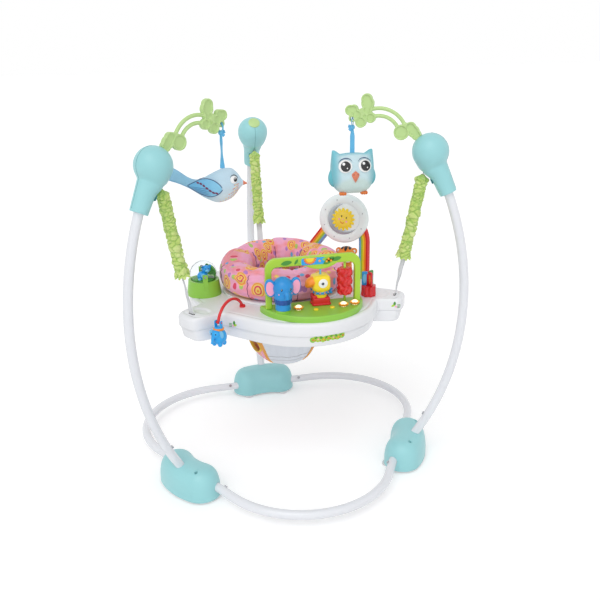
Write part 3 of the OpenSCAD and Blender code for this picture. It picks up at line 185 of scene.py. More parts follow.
def patch(points, material, close_u=False, close_v=False, uv=(1.0, 1.0), paint=None):
    """One grid of points, points[i, j] = P(u_i, v_j); uv is the size in metres that its pattern spans."""
    return dict(points=np.asarray(points, float), material=material, close=(close_u, close_v), uv=uv,
                paint=paint)


def grid_quads(nu, nv, close_u, close_v):
    """Corner numbers of the quads between neighbouring grid points, and the same as plain (i, j) steps."""
    i, j = np.meshgrid(
        np.arange(nu if close_u else nu - 1), np.arange(nv if close_v else nv - 1), indexing="ij")
    i, j = i.ravel(), j.ravel()
    steps = np.stack([np.stack([i, j], -1), np.stack([i + 1, j], -1),
                      np.stack([i + 1, j + 1], -1), np.stack([i, j + 1], -1)], 1)
    return (steps[..., 0] % nu) * nv + steps[..., 1] % nv, steps


def set_up(name, mesh, body, replaces):
    """Smooth mesh as an object that rides on a body and may replace CAD nodes."""
    mesh.polygons.foreach_set("use_smooth", np.ones(len(mesh.polygons), bool))
    piece = bpy.data.objects.new(name, mesh)
    scene.collection.objects.link(piece)
    if body:
        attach(piece, body)
    if replaces:
        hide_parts(*replaces)
    return piece


def make_piece(name, patches, body, replaces=(), solid=True):
    """Joins grids into one mesh object that rides on a body."""
    verts, quads, uvs, slots, paints, materials, base = [], [], [], [], [], [], 0
    for part in patches:
        nu, nv = part["points"].shape[:2]
        faces, steps = grid_quads(nu, nv, *part["close"])
        if part.get("keep") is not None:
            faces, steps = faces[part["keep"]], steps[part["keep"]]
        verts.append(part["points"].reshape(-1, 3))
        quads.append(faces + base)
        span = np.array([max(nu - (not part["close"][0]), 1), max(nv - (not part["close"][1]), 1)])
        uvs.append((steps / span * np.array(part["uv"])).reshape(-1, 2))
        if part["material"] not in materials:
            materials.append(part["material"])
        slots.append(np.full(len(faces), materials.index(part["material"])))
        paint = np.ones(4) if part["paint"] is None else part["paint"]
        paints.append(np.broadcast_to(paint, (nu, nv, 4)).reshape(-1, 4))
        base += nu * nv
    mesh = bpy.data.meshes.new(name)
    mesh.from_pydata(np.concatenate(verts).tolist(), [], np.concatenate(quads).tolist())
    for material in materials:
        mesh.materials.append(material)
    mesh.uv_layers.new(name="UVMap").data.foreach_set("uv", np.concatenate(uvs).ravel())
    mesh.polygons.foreach_set("material_index", np.concatenate(slots).astype(np.int32))
    colours_and_shading = mesh.color_attributes.new("paint", "FLOAT_COLOR", "POINT")
    colours_and_shading.data.foreach_set("color", np.concatenate(paints).ravel())
    work = bmesh.new()
    work.from_mesh(mesh)
    bmesh.ops.remove_doubles(work, verts=work.verts, dist=WELD)
    bmesh.ops.dissolve_degenerate(work, edges=work.edges, dist=SLIVER)
    if solid:
        bmesh.ops.recalc_face_normals(work, faces=work.faces)
    work.to_mesh(mesh)
    work.free()
    return set_up(name, mesh, body, replaces)


def unit(v):
    """v at length one."""
    v = np.asarray(v, float)
    return v / np.linalg.norm(v, axis=-1, keepdims=True)


def polar(radius, degrees, z):
    """A point at a radius and direction from the posts' middle axis."""
    a = math.radians(degrees)
    return np.array([radius * math.cos(a), radius * math.sin(a) + AXIS_Y, z])


def turned_axes(degrees):
    """Rows: along, sideways and up for a thing turned about the vertical."""
    a = math.radians(degrees)
    return np.array([[math.cos(a), math.sin(a), 0], [-math.sin(a), math.cos(a), 0], [0, 0, 1]])


def moved(point, axes, x, y, z):
    """A point moved by x, y and z along the rows of axes; arrays give a row of points."""
    return point + np.stack(np.broadcast_arrays(x, y, z), -1) @ axes


def full_turn(n):
    """n equal steps round a circle, in radians."""
    return np.linspace(0, 2 * np.pi, n, endpoint=False)


def round_points(r, turn, z):
    """Points at radius r, direction turn and height z: (r cos turn, r sin turn, z)."""
    return np.stack(np.broadcast_arrays(r * np.cos(turn), r * np.sin(turn), z), -1)


def tube_steps(along, around):
    """Two grids for a tube: 0 to 1 along it and one turn around it."""
    return np.meshgrid(np.linspace(0, 1, along), full_turn(around), indexing="ij")


def signed_power(x, share):
    """Power that keeps the sign, to square a circle."""
    return np.sign(x) * np.abs(x) ** share


def spline(points, n):
    """Catmull-Rom curve through points, sampled n times: each span is the cubic with matching slopes."""
    p = np.asarray(points, float)
    p = np.vstack([2 * p[0] - p[1], p, 2 * p[-1] - p[-2]])
    t = np.linspace(0, len(p) - 3 - 1e-9, n)
    k = t.astype(int)
    f = (t - k)[:, None]
    a, b, c, d = p[k], p[k + 1], p[k + 2], p[k + 3]
    return b + 0.5 * f * (c - a + f * (2 * a - 5 * b + 4 * c - d + f * (3 * (b - c) + d - a)))


def ball(centre, radii, material, axes=np.eye(3), square=1.0, n=28):
    """Ellipsoid, or a squarer one: cosine and sine each raised to a power."""
    lon, lat = np.meshgrid(full_turn(2 * n), np.linspace(-np.pi / 2, np.pi / 2, n), indexing="ij")
    cos_lat, sin_lat, cos_lon, sin_lon = (signed_power(wave(angle), square) for angle in (lat, lon)
                                          for wave in (np.cos, np.sin))
    local = np.stack([cos_lat * cos_lon, cos_lat * sin_lon, sin_lat], -1) * np.asarray(radii, float)
    return patch(np.asarray(centre) + local @ axes, material, close_u=True)


def lathe(profile, centre, material, axes=np.eye(3), n=64, flutes=0, depth=0.0):
    """Profile of (radius, height) turned about the third axis; flutes ripple the radius."""
    profile = np.asarray(profile, float)
    turn = full_turn(n)[:, None]
    r = profile[None, :, 0] * (1 - depth * (0.5 - 0.5 * np.cos(flutes * turn)))
    return patch(np.asarray(centre) + round_points(r, turn, profile[:, 1]) @ axes, material, close_u=True)


def sweep(path, section, material, up, size=None, uv=(1.0, 1.0), closed=False):
    """Section of (side, up) points carried along a path; size scales it from end to end."""
    path, section = np.asarray(path, float), np.asarray(section, float)
    if closed:
        along = unit(np.roll(path, -1, 0) - np.roll(path, 1, 0))
    else:
        along = unit(np.gradient(path, axis=0))
    side = unit(np.cross(along, np.broadcast_to(np.asarray(up, float), along.shape)))
    rise = np.cross(side, along)
    scale = np.ones(len(path)) if size is None else np.asarray(size, float)
    rings = section[None, :, :1] * side[:, None] + section[None, :, 1:] * rise[:, None]
    rings = path[:, None] + scale[:, None, None] * rings
    if not closed:
        ends = [np.repeat(path[k][None, None], len(section), 1) for k in (0, -1)]
        rings = np.concatenate([ends[0], rings, ends[1]])
    return patch(rings, material, close_u=closed, close_v=True, uv=uv)


def circle(radius, n=16):
    """Points of a round section."""
    t = full_turn(n)
    return radius * np.stack([np.cos(t), np.sin(t)], -1)


def rounded_box(width, height, radius, n=5):
    """Points of a rectangle with round corners."""
    t = np.linspace(0, np.pi / 2, n)
    quarter = radius * np.stack([np.cos(t), np.sin(t)], -1)
    corners = []
    for k, (sx, sy) in enumerate([(1, 1), (-1, 1), (-1, -1), (1, -1)]):
        corner = quarter @ turned_axes(90 * k)[:2, :2]
        corners.append(corner + [sx * (width / 2 - radius), sy * (height / 2 - radius)])
    return np.concatenate(corners)


def slab(outline, thick, edge, material, origin, axes, dome=0.0):
    """Flat plate with a rounded edge: at each face the outline shrinks to its middle along a quarter circle.
    axes are right, up and outwards; dome lifts the middle of the front."""
    outline = np.asarray(outline, float)
    reach = np.linalg.norm(outline, axis=1, keepdims=True)
    a = np.linspace(0, np.pi / 2, 5)
    inset = np.concatenate([edge * (1 - np.cos(a[::-1])), edge * (1 - np.cos(a))])
    height = np.concatenate([-thick / 2 + edge * (1 - np.sin(a[::-1])), thick / 2 - edge * (1 - np.sin(a))])
    rings = [np.insert(outline * (1 - d / reach), 2, h, 1) for d, h in zip(inset, height)]
    for share in (0.66, 0.33, 0.0):
        top = rings[len(inset) - 1].copy()
        top[:, :2] *= share
        top[:, 2] = thick / 2 + dome * (1 - share ** 2)
        rings.append(top)
    low = rings[0].copy()
    low[:, :2] = 0
    rings.insert(0, low)
    return patch(np.asarray(origin) + np.stack(rings) @ np.asarray(axes), material, close_v=True)


def smooth_step(x, low, high):
    """0 below low, 1 above high, and the cubic 3t^2 - 2t^3 between."""
    t = np.clip((x - low) / (high - low), 0, 1)
    return t * t * (3 - 2 * t)


def mixed(a, b, share):
    """Colours a and b mixed point by point."""
    share = np.asarray(share)[..., None]
    return np.asarray(a) * (1 - share) + np.asarray(b) * share


print("building blocks ready")

# %% [markdown]
# ## Finishes
# Moulded plastic is never quite even: it has a faint grain, and its gloss varies a little. Pictures of
# such skins would need files and repeat visibly, noise does not. That skin is one node group, used by
# every plastic with its own values. Cloth has a weave of sine waves on its UV map, and plush a short
# pile.

# %% Node groups


def linear(r, g, b):
    """sRGB colour, 0 to 255, as linear light."""
    c = np.array([r, g, b]) / 255
    return tuple(np.where(c <= 0.04045, c / 12.92, ((c + 0.055) / 1.055) ** 2.4)) + (1.0,)


def new_group(name, inputs, outputs):
    """Empty shader node group with named sockets."""
    group = bpy.data.node_groups.new(name, "ShaderNodeTree")
    for label, kind, value in inputs:
        socket = group.interface.new_socket(label, in_out="INPUT", socket_type=kind)
        socket.default_value = value
    for label, kind in outputs:
        group.interface.new_socket(label, in_out="OUTPUT", socket_type=kind)
    return group, group.nodes.new("NodeGroupInput"), group.nodes.new("NodeGroupOutput")


def blend_colour(tree, factor, a, b):
    """Mix node for colours; a and b are sockets or colours."""
    node = add_node(tree, "Mix")
    node.data_type = "RGBA"
    for value, number in ((factor, 0), (a, 6), (b, 7)):
        feed(tree, node.inputs[number], value)
    return node.outputs[2]


def noise(tree, vector, scale, detail=3.0, roughness=0.5):
    """Noise texture on a vector; returns its value."""
    node = add_node(tree, "TexNoise", Vector=vector, Scale=scale, Detail=detail, Roughness=roughness)
    return node.outputs["Fac"]


COLOUR, NUMBER = "NodeSocketColor", "NodeSocketFloat"
WHITE, BLACK = (1, 1, 1, 1), (0.0, 0.0, 0.0, 1)
SKIN_OUTPUTS = [("Colour", COLOUR), ("Roughness", NUMBER), ("Height", NUMBER)]
RADIANS_PER_THREAD = 6.2832


def put_out(group, out, **sockets):
    """Links the sockets to the group's outputs of the same name."""
    for label, socket in sockets.items():
        group.links.new(socket, out.inputs[label])


def dimmed(tree, colour, contrast, *patterns):
    """Colour with black mixed in by contrast * (1 - the sum of each pattern times its share)."""
    dim = 1.0
    for pattern, share in patterns:
        dim = maths(tree, "MULTIPLY_ADD", pattern, -share, dim)
    return blend_colour(tree, maths(tree, "MULTIPLY", dim, contrast), colour, BLACK)


moulded_skin, g_in, g_out = new_group(
    "moulded_skin", [("Colour", COLOUR, WHITE), ("Grain", NUMBER, 900.0), ("Gloss", NUMBER, 0.3),
                     ("Shade", NUMBER, 0.04)], SKIN_OUTPUTS)
place = add_node(moulded_skin, "TexCoord").outputs["Object"]
cloud = noise(moulded_skin, place, 9.0, 4.0)
darker = maths(moulded_skin, "MULTIPLY", cloud, g_in.outputs["Shade"])
gloss_change = maths(moulded_skin, "MULTIPLY_ADD", cloud, 0.12, g_in.outputs["Gloss"])
put_out(moulded_skin, g_out, Colour=blend_colour(moulded_skin, darker, g_in.outputs["Colour"], BLACK),
        Roughness=maths(moulded_skin, "SUBTRACT", gloss_change, 0.06),
        Height=noise(moulded_skin, place, g_in.outputs["Grain"], 2.0))

woven_cloth, g_in, g_out = new_group("woven_cloth", [
    ("Colour", COLOUR, WHITE), ("Threads", NUMBER, 900.0), ("Contrast", NUMBER, 0.25)], SKIN_OUTPUTS)
sheet_uv = add_node(woven_cloth, "UVMap")
sheet_uv.uv_map = "UVMap"
axis_split = add_node(woven_cloth, "SeparateXYZ", Vector=sheet_uv.outputs[0])
turns = maths(woven_cloth, "MULTIPLY", g_in.outputs["Threads"], RADIANS_PER_THREAD)
warp, weft = [maths(woven_cloth, "SINE", maths(woven_cloth, "MULTIPLY", axis_split.outputs[k], turns))
              for k in (0, 1)]
crossing = maths(woven_cloth, "MULTIPLY_ADD", maths(woven_cloth, "MULTIPLY", warp, weft), 0.5, 0.5)
slub = noise(woven_cloth, sheet_uv.outputs[0], 60.0, 4.0)
dyed = dimmed(woven_cloth, g_in.outputs["Colour"], g_in.outputs["Contrast"], (slub, 0.6), (crossing, 0.5))
put_out(woven_cloth, g_out, Colour=dyed, Roughness=maths(woven_cloth, "MULTIPLY_ADD", crossing, -0.1, 0.9),
        Height=maths(woven_cloth, "MULTIPLY_ADD", slub, 0.6, crossing))

short_pile, g_in, g_out = new_group("short_pile", [
    ("Colour", COLOUR, WHITE), ("Tufts", NUMBER, 700.0), ("Contrast", NUMBER, 0.3)], SKIN_OUTPUTS)
place = add_node(short_pile, "TexCoord").outputs["Object"]
tufts = noise(short_pile, place, g_in.outputs["Tufts"], 3.0, 0.65)
strokes = noise(short_pile, place, 45.0, 3.0)
dyed = dimmed(short_pile, g_in.outputs["Colour"], g_in.outputs["Contrast"], (strokes, 0.5), (tufts, 0.6))
put_out(short_pile, g_out, Colour=dyed, Roughness=maths(short_pile, "MULTIPLY_ADD", tufts, 0.1, 0.85),
        Height=maths(short_pile, "MULTIPLY_ADD", strokes, 0.5, tufts))
print("node groups", [g.name for g in bpy.data.node_groups])

# %% [markdown]
# ## Materials
# The real parts are moulded in many colours of plastic, painted steel tube, woven cloth and plush. Each
# material could be wired by hand; one function places the group, wires it and sets the shader's own
# sockets, so a new colour takes one line.

# %% Materials
PAINTED_GREY = (0.8, 0.8, 0.8, 1)


def finish(name, group, colour, values, bump=0.1, bump_depth=0.0002, painted=False, **shader):
    """Material from a node group; its colour is sRGB, 0 to 255, or the mesh's own if it is painted."""
    material = bpy.data.materials.new(name)
    material.use_nodes = True
    tree = material.node_tree
    principled = tree.nodes["Principled BSDF"]
    skin = add_node(tree, "Group")
    skin.node_tree = group
    if painted:
        attribute = add_node(tree, "VertexColor")
        attribute.layer_name = "paint"
        feed(tree, skin.inputs["Colour"], attribute.outputs["Color"])
    else:
        skin.inputs["Colour"].default_value = linear(*colour)
    for label, value in values.items():
        skin.inputs[label].default_value = value
    tree.links.new(skin.outputs["Colour"], principled.inputs["Base Color"])
    tree.links.new(skin.outputs["Roughness"], principled.inputs["Roughness"])
    relief = add_node(tree, "Bump", Strength=bump, Distance=bump_depth, Height=skin.outputs["Height"])
    tree.links.new(relief.outputs["Normal"], principled.inputs["Normal"])
    for label, value in shader.items():
        principled.inputs[label.replace("_", " ").title().replace("Ior", "IOR")].default_value = value
    material.diffuse_color = PAINTED_GREY if painted else linear(*colour)
    return material


def plastic(name, colour, gloss=0.3, grain=900.0, **shader):
    """Moulded plastic."""
    return finish(name, moulded_skin, colour, {"Gloss": gloss, "Grain": grain}, bump=0.06, **shader)


def cloth(name, colour, threads=900.0, contrast=0.25, bump=0.4, painted=False):
    """Woven cloth with a soft sheen."""
    return finish(name, woven_cloth, colour, {"Threads": threads, "Contrast": contrast}, bump,
                  painted=painted, sheen_weight=0.25)


def plush(name, colour, painted=False):
    """Short pile with sheen."""
    return finish(name, short_pile, colour, {}, bump=0.55, bump_depth=0.0006, painted=painted,
                  sheen_weight=0.4)


white_enamel = plastic("white_enamel", (235, 237, 242), 0.22, 300.0, coat_weight=0.3)
white = plastic("white_plastic", (240, 241, 244), 0.25)
teal = plastic("teal_plastic", (158, 218, 222), 0.34)
# Dark teal: seam lines on the heads, and painted shadow round the heads' slots.
teal_seam_and_shadow = plastic("teal_seam_and_shadow", (76, 150, 155), 0.4)
leaf_plastic = plastic("leaf_plastic", (192, 222, 148), 0.34)
console_plastic = plastic("console_plastic", (146, 206, 72), 0.3)
deep_green = plastic("deep_green", (72, 150, 52), 0.35)
blue = plastic("blue_plastic", (30, 146, 218), 0.28)
pale_blue = plastic("pale_blue", (112, 190, 232), 0.28)
navy = plastic("navy_plastic", (10, 78, 160), 0.3)
pink = plastic("pink_plastic", (252, 170, 200), 0.35)
yellow = plastic("yellow_plastic", (255, 222, 44), 0.3)
lime = plastic("lime_plastic", (174, 216, 58), 0.3)
azure = plastic("azure_plastic", (36, 168, 240), 0.3)
sun_yellow = plastic("sun_yellow", (255, 222, 78), 0.3)
sun_orange = plastic("sun_orange", (255, 204, 62), 0.3)
orange = plastic("orange_plastic", (255, 148, 36), 0.3)
red = plastic("red_plastic", (220, 36, 42), 0.26)
purple = plastic("purple_plastic", (146, 116, 192), 0.3)
smoke = plastic("smoke_plastic", (104, 110, 112), 0.3)
black = plastic("black_plastic", (24, 24, 28), 0.2)
ice_white = plastic("ice_white", (246, 252, 253), 0.22)
bright_white = plastic("bright_white", (250, 250, 250), 0.2)
grey = plastic("grey_plastic", (188, 190, 195), 0.3)
silver_print = plastic("silver_print", (178, 186, 194), 0.25, metallic=0.35)
pad_rubber = plastic("pad_rubber", (225, 226, 228), 0.6)
steel = plastic("steel", (170, 172, 176), 0.3, metallic=1.0)
circuit = plastic("circuit", (30, 96, 50), 0.45)
sleeve_cloth = cloth("sleeve_cloth", None, 800.0, 0.2, painted=True)
webbing = cloth("webbing", (232, 234, 236), 600.0, 0.2, bump=0.6)
ribbon_cloth = cloth("ribbon_cloth", (108, 194, 240), 1400.0, 0.2)
plush_paint = plush("plush_paint", None, painted=True)
plush_salmon = plush("plush_salmon", (240, 142, 110))
plush_orange = plush("plush_orange", (244, 132, 56))
ink_plush = plush("ink_plush", (36, 72, 124))
thread_dark = cloth("thread_dark", (124, 58, 98), 2000.0, 0.3)
clear_plastic = plastic("clear_plastic", (246, 250, 252), 0.08, transmission_weight=1.0, ior=1.03)
lamp_glow = plastic(
    "lamp_glow", (255, 226, 190), 0.15, emission_color=linear(255, 224, 190), emission_strength=1.0)

node_finishes = {
    white_enamel: "front_base_tube right_base_tube left_base_tube left_post right_post rear_post",
    white: "hub_soles battery_door seat_ring seat_lower_ring tray_top tray_bottom rainbow_stand",
    teal: "left_hub_cover right_hub_cover rear_hub_cover "
          "left_head_shells right_head_shells rear_head_shells",
    leaf_plastic: "left_toy_arm right_toy_arm rear_socket_cap",
    console_plastic: "console_base console_arch ball_cradle",
    pad_rubber: "foot_pads",
    steel: "frame_screws spring_pins springs tray_screws batteries",
    circuit: "sound_module",
    red: "parrot_perch toy_stem fluted_spinner picture_drum",
    orange: "tiger_figure",
    blue: "elephant_figure ball_figure hanging_elephant",
    yellow: "parrot_figure sun_disc left_button right_button",
    clear_plastic: "clear_ball",
    lamp_glow: "lamp_lenses"}
for material, names in node_finishes.items():
    for name in names.split():
        nodes[name].data.materials.clear()
        nodes[name].data.materials.append(material)
print("materials", len(bpy.data.materials))

# %% [markdown]
# ## Floor
# The object stands on a wide plain floor, almost white. A curved backdrop would do, but one large face is
# enough, as the world behind it is white too. The floor glows a little, only for rays that are seen
# directly, so that it melts into the background and keeps the shadow under the feet.

# %% Floor
FLOOR_GLOW, FLOOR_HALF = 0.23, 30.0
floor_finish = plastic("floor_finish", (250, 250, 250), 0.75, 40.0, emission_color=linear(255, 255, 255))
tree = floor_finish.node_tree
glow = maths(tree, "MULTIPLY", seen_directly(tree), FLOOR_GLOW)
tree.links.new(glow, tree.nodes["Principled BSDF"].inputs["Emission Strength"])
corners = FLOOR_HALF * np.array([[[-1, -1, 0], [-1, 1, 0]], [[1, -1, 0], [1, 1, 0]]])
floor = make_piece("studio_floor", [patch(corners, floor_finish)], None, solid=False)
floor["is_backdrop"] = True
print("floor", 2 * FLOOR_HALF, "metres wide")

# %% [markdown]
# ## Springs
# The tray hangs on three steel springs: a wire wound round and round, with a straight hook at each end.
# The lower one holds the strap, the upper one goes to the pin in the head. A Screw modifier could wind
# it, but a round section swept along one path makes coil and hooks together.

# %% Springs
POSTS = {"rear": 90, "left": 210, "right": 330}
HEAD_R, HEAD_Z = 0.36154, 0.8
STRAP_R, TRAY_Z = 0.289, 0.448
PIN_R, PIN_Z = HEAD_R - 0.01, HEAD_Z - 0.028


def spring_frame(degrees):
    """Foot of the strap, and the local outward, sideways and upward axes of the spring's slanted line."""
    foot, pin = polar(STRAP_R, degrees, TRAY_Z), polar(PIN_R, degrees, PIN_Z)
    along = unit(pin - foot)
    sideways = turned_axes(degrees)[1]
    return foot, np.stack([np.cross(sideways, along), sideways, along])


COIL_FOOT, COIL_TOP, COIL_RADIUS, WIRE_RADIUS, COIL_TURNS = 0.144, 0.289, 0.0077, 0.00115, 34
STRAP_END, STRETCH_TOP, PIN_GAP, HOOK_GAP = 0.1312, 0.3, 0.003, 0.003
for side, degrees in POSTS.items():
    foot, axes = spring_frame(degrees)
    wound = np.linspace(0, 1, COIL_TURNS * 18)
    reach = COIL_RADIUS * smooth_step(np.minimum(wound, 1 - wound), 0, 0.035)
    turn = 2 * np.pi * COIL_TURNS * wound
    coil = round_points(reach, turn, COIL_FOOT + (COIL_TOP - COIL_FOOT) * wound)
    span = np.linalg.norm(polar(PIN_R, degrees, PIN_Z) - foot)
    hooks = np.insert(
        np.zeros((4, 2)), 2, [STRAP_END, COIL_FOOT - HOOK_GAP, COIL_TOP + HOOK_GAP, span - PIN_GAP], 1)
    path = foot + np.concatenate([hooks[:2], coil, hooks[2:]]) @ axes
    wire = sweep(path, circle(WIRE_RADIUS, 8), steel, up=axes[1], uv=(1.6, 0.008))
    spring = make_piece(f"{side}_coil_spring", [wire], None, ["springs"])
    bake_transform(spring)
print("springs", COIL_TURNS, "turns each")

# %% [markdown]
# ## Spring sleeves
# Each spring hides in a tube of thin cloth that is cut much longer than the spring, so it gathers into
# many small crumples. A simulation of such a tight gather is slow and hard to steer, so the relief is
# worked out: scattered points each own a puff, and the relief is how much nearer a place is to its own
# point than to the next one, so a crease runs wherever two puffs meet. The top is drawn together round
# the hook and the bottom ends in a frill.

# %% Sleeves
SLEEVE_FOOT, SLEEVE_TOP, SLEEVE_GIRTH = 0.1, 0.3045, 0.11


def mesh_area(piece):
    """Sum of the faces' areas in square metres."""
    return sum(p.area for p in piece.data.polygons)


def crumples(height, turn, count, seed):
    """Relief of puffs, 0 to 1, creased where two meet, and a random painted-highlight weight for each puff.
    """
    rng = np.random.default_rng(seed)
    first, second = np.full(height.shape, 9.0), np.full(height.shape, 9.0)
    shade = np.zeros(height.shape)
    tall, typical_radius = 0.0043 * math.sqrt(150 / count), 0.015
    for spot in rng.random((count, 5)):
        round_way = (np.mod(turn - 2 * np.pi * spot[1] + np.pi, 2 * np.pi) - np.pi) * typical_radius
        up_way = height - (SLEEVE_TOP - SLEEVE_FOOT) * spot[0] + (spot[2] - 0.5) * round_way
        far = np.hypot(up_way / tall, round_way / (1.9 * tall)) / (0.8 + 0.45 * spot[3])
        shade = np.where(far < first, spot[4], shade)
        second = np.minimum(second, np.maximum(first, far))
        first = np.minimum(first, far)
    return np.clip((second - first) / 1.3, 0, 1) ** 0.55, shade


for number, (side, degrees) in enumerate(POSTS.items()):
    foot, axes = spring_frame(degrees)
    s, turn = tube_steps(300, 112)
    shift = 1.7 * number
    length = SLEEVE_TOP - SLEEVE_FOOT
    hem = np.exp(-s * length / 0.011)
    frill = np.exp(-((s - 0.945) * length / 0.007) ** 2)
    close = smooth_step(s, 0.945, 1.0)
    puffs, shine = crumples(s * length, turn, 105, 40 + number)
    tucks, tuck_highlight = crumples(s * length, turn, 420, 50 + number)
    lobes = np.sin(3 * turn - 2 * np.pi * 5.3 * s + 2 * shift)
    relief = 0.76 * puffs + 0.24 * tucks
    foot_wave, top_wave = np.cos(9 * turn + shift), np.cos(11 * turn - shift)
    radius = 0.011 + 0.0054 * relief + 0.0006 * lobes
    radius = radius + hem * (0.003 + 0.0022 * foot_wave) + frill * (0.0012 + 0.0014 * top_wave)
    radius = np.maximum(radius, 0.0106) * (1 - close) + close * (0.0036 + 0.0007 * top_wave)
    local = round_points(radius, turn, SLEEVE_FOOT + s * length - hem * 0.0018 * (1 + foot_wave))
    # Painted shade and light in the cloth's colour: darker green down in the creases, paler on the puffs,
    # and painted highlights on some puffs and tucks.
    colours_and_shading = mixed(linear(150, 200, 86), linear(202, 228, 120), smooth_step(relief, 0.0, 0.8))
    colours_and_shading = mixed(colours_and_shading, linear(232, 244, 170), 0.75 * shine ** 2 * puffs + 0.35 * tuck_highlight * tucks)
    tube = patch(foot + local @ axes, sleeve_cloth, close_v=True, uv=(0.3, SLEEVE_GIRTH), paint=colours_and_shading)
    sleeve = make_piece(f"{side}_spring_sleeve", [tube], None, [f"{side}_sleeve"])
    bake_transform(sleeve)

# %% [markdown]
# ## Heads
# Each post ends in a pear-shaped head that holds the spring's pin. Joining a ball and a cone with a
# Boolean leaves a hard edge, so both are turned about the post's direction with the larger radius of the
# two at each height, rounded where they meet. A bell-shaped swelling on the inner side runs the ball into
# the neck, above the slot for the hook.

# %% Heads
HEAD_BALL, NECK_END, SLOT_AT, MEETING, LEAN = 0.042, 0.105, 0.0635, 0.005, math.radians(25.5)
for side, degrees in POSTS.items():
    out_way, sideways, upward = turned_axes(degrees)
    down = math.sin(LEAN) * out_way - math.cos(LEAN) * upward
    axes = np.stack([np.cross(sideways, down), sideways, down])
    middle = polar(HEAD_R, degrees, HEAD_Z)
    h = np.concatenate([-HEAD_BALL * np.cos(np.linspace(0, 2.45, 70)), np.linspace(0.0335, 0.1035, 40)])
    sphere = np.sqrt(np.maximum(HEAD_BALL ** 2 - h ** 2, 0))
    cone = np.where(h > 0, 0.0262 - 0.006 * h / NECK_END, -1)
    near = np.maximum(MEETING - np.abs(sphere - cone), 0) / MEETING
    turn = full_turn(96)[:, None]
    swelling = 0.0095 * np.exp(-((h - 0.037) / 0.016) ** 2) * (0.5 + 0.5 * np.cos(turn)) ** 2
    r = np.maximum(sphere, cone) + near ** 2 * MEETING / 4 + swelling
    r = np.concatenate([r, r[:, -1:] * [[0.985, 0.94, 0.0]]], 1)
    h = np.append(h, [0.1046, NECK_END, NECK_END])
    pear = round_points(r, turn, h)
    parts = [patch(middle + pear @ axes, teal, close_u=True)]
    for k in (0, 48):
        parts.append(sweep(middle + pear[k, 12:108] @ axes, circle(0.00045, 6), teal_seam_and_shadow, up=sideways))
    slot_at = moved(middle, axes, np.interp(SLOT_AT, h, r[0]), 0, SLOT_AT)
    slot_axes = np.stack([sideways, -down, axes[0]])
    # The larger dark teal plate is painted shadow round the slot; the white plate is the slot itself.
    parts += [
        slab(rounded_box(0.0255, 0.0135, 0.004), 0.002, 0.0009, teal_seam_and_shadow, slot_at, slot_axes),
        slab(rounded_box(0.0195, 0.0085, 0.002), 0.0014, 0.0004, bright_white, slot_at + 0.0006 * axes[0],
             slot_axes)]
    make_piece(f"{side}_pear_head", parts, "frame", [f"{side}_head_shells"])
print("heads", len(POSTS))

# %% [markdown]
# ## Straps
# A flat webbing strap runs from each lug of the tray up into the sleeve. A plain ribbon would look like
# paper, so a thin rounded rectangle is swept up with a slight twist. Two rows of stitches are little
# bars, because a bump in the material would be missing from the mesh.

# %% Straps
for side, degrees in POSTS.items():
    foot, axes = spring_frame(degrees)
    z = np.linspace(-0.006, 0.13, 46)
    ripple = 0.0006 * np.sin(z * 160)
    path = moved(foot, axes, ripple, 0, z)
    twist = (-0.62 if side == "right" else -0.36) * smooth_step(z, 0.005, 0.08)
    ups = np.cos(twist)[:, None] * axes[0] + np.sin(twist)[:, None] * axes[1]
    parts = [sweep(path, rounded_box(0.016, 0.0016, 0.0007), webbing, up=ups, uv=(0.12, 0.036))]
    for y in (-0.0055, 0.0055):
        for k in np.linspace(0.006, 0.09, 22):
            out_way = unit(np.array([np.interp(k, z, ups[:, j]) for j in range(3)]))
            sideways = np.cross(axes[2], out_way)
            proud = np.array([0.001, 0.0012, 0.001]) + np.interp(k, z, ripple)
            stitch = moved(foot, np.stack([out_way, sideways, axes[2]]), proud, y,
                           k + np.array([-0.0013, 0, 0.0013]))
            parts.append(sweep(stitch, circle(0.00032, 6), grey, up=sideways))
    # A black plate on the tray round the strap is painted shade for the slot that the strap goes through.
    slot_shade_at = moved(foot, axes, 0, 0, 0.0006)
    ground = np.stack([axes[1], np.cross([0, 0, 1], axes[1]), [0, 0, 1]])
    parts.append(slab(rounded_box(0.0205, 0.0056, 0.0026), 0.0006, 0.0002, black, slot_shade_at, ground))
    make_piece(f"{side}_webbing_strap", parts, "tray", [f"{side}_strap"])
print("straps", len(POSTS))

# %% [markdown]
# ## Tray
# The tray is two glossy white shells. Its outline blends a round body, three lugs and a wide front lobe
# with a power mean, the same formula as in the CAD source. A Bevel on the CAD shell would round its
# edges, but couldn't dish the lugs, so rings follow that outline: up the seat hole, out over the top,
# round the edge, down the wall and back underneath.

# %% Tray outline
BODY_R, LUG_R, LUG_HALF, LOBE_R, LOBE_X, LOBE_Y, POWER = 0.24, 0.312, 0.044, 0.178, 0.025, 0.112, 20
HOLE_R, EDGE_R, SEAM_Z, LOWER_TOP, UNDERSIDE = 0.14, 0.009, 0.4182, 0.4176, 0.388
MIDDLE = np.array([0, AXIS_Y, 0])
tray_turn = full_turn(900)


def tray_outline(turn):
    """Radius of the tray in a direction: (body^20 + lobe^20 + lugs^20)^(1/20)."""
    along = LOBE_X * np.cos(turn) - LOBE_Y * np.sin(turn)
    lobe = along + np.sqrt(np.maximum(along ** 2 - (LOBE_X ** 2 + LOBE_Y ** 2 - LOBE_R ** 2), 0))
    total = 1 + (lobe / BODY_R) ** POWER
    for degrees in POSTS.values():
        d = turn - math.radians(degrees)
        lug = 1 / ((1 / LUG_R) ** 6 + (np.abs(np.sin(d)) / LUG_HALF) ** 6) ** (1 / 6)
        total = total + (np.where(np.cos(d) > 0, lug, 0) / BODY_R) ** POWER
    return BODY_R * total ** (1 / POWER)


outline = tray_outline(tray_turn)


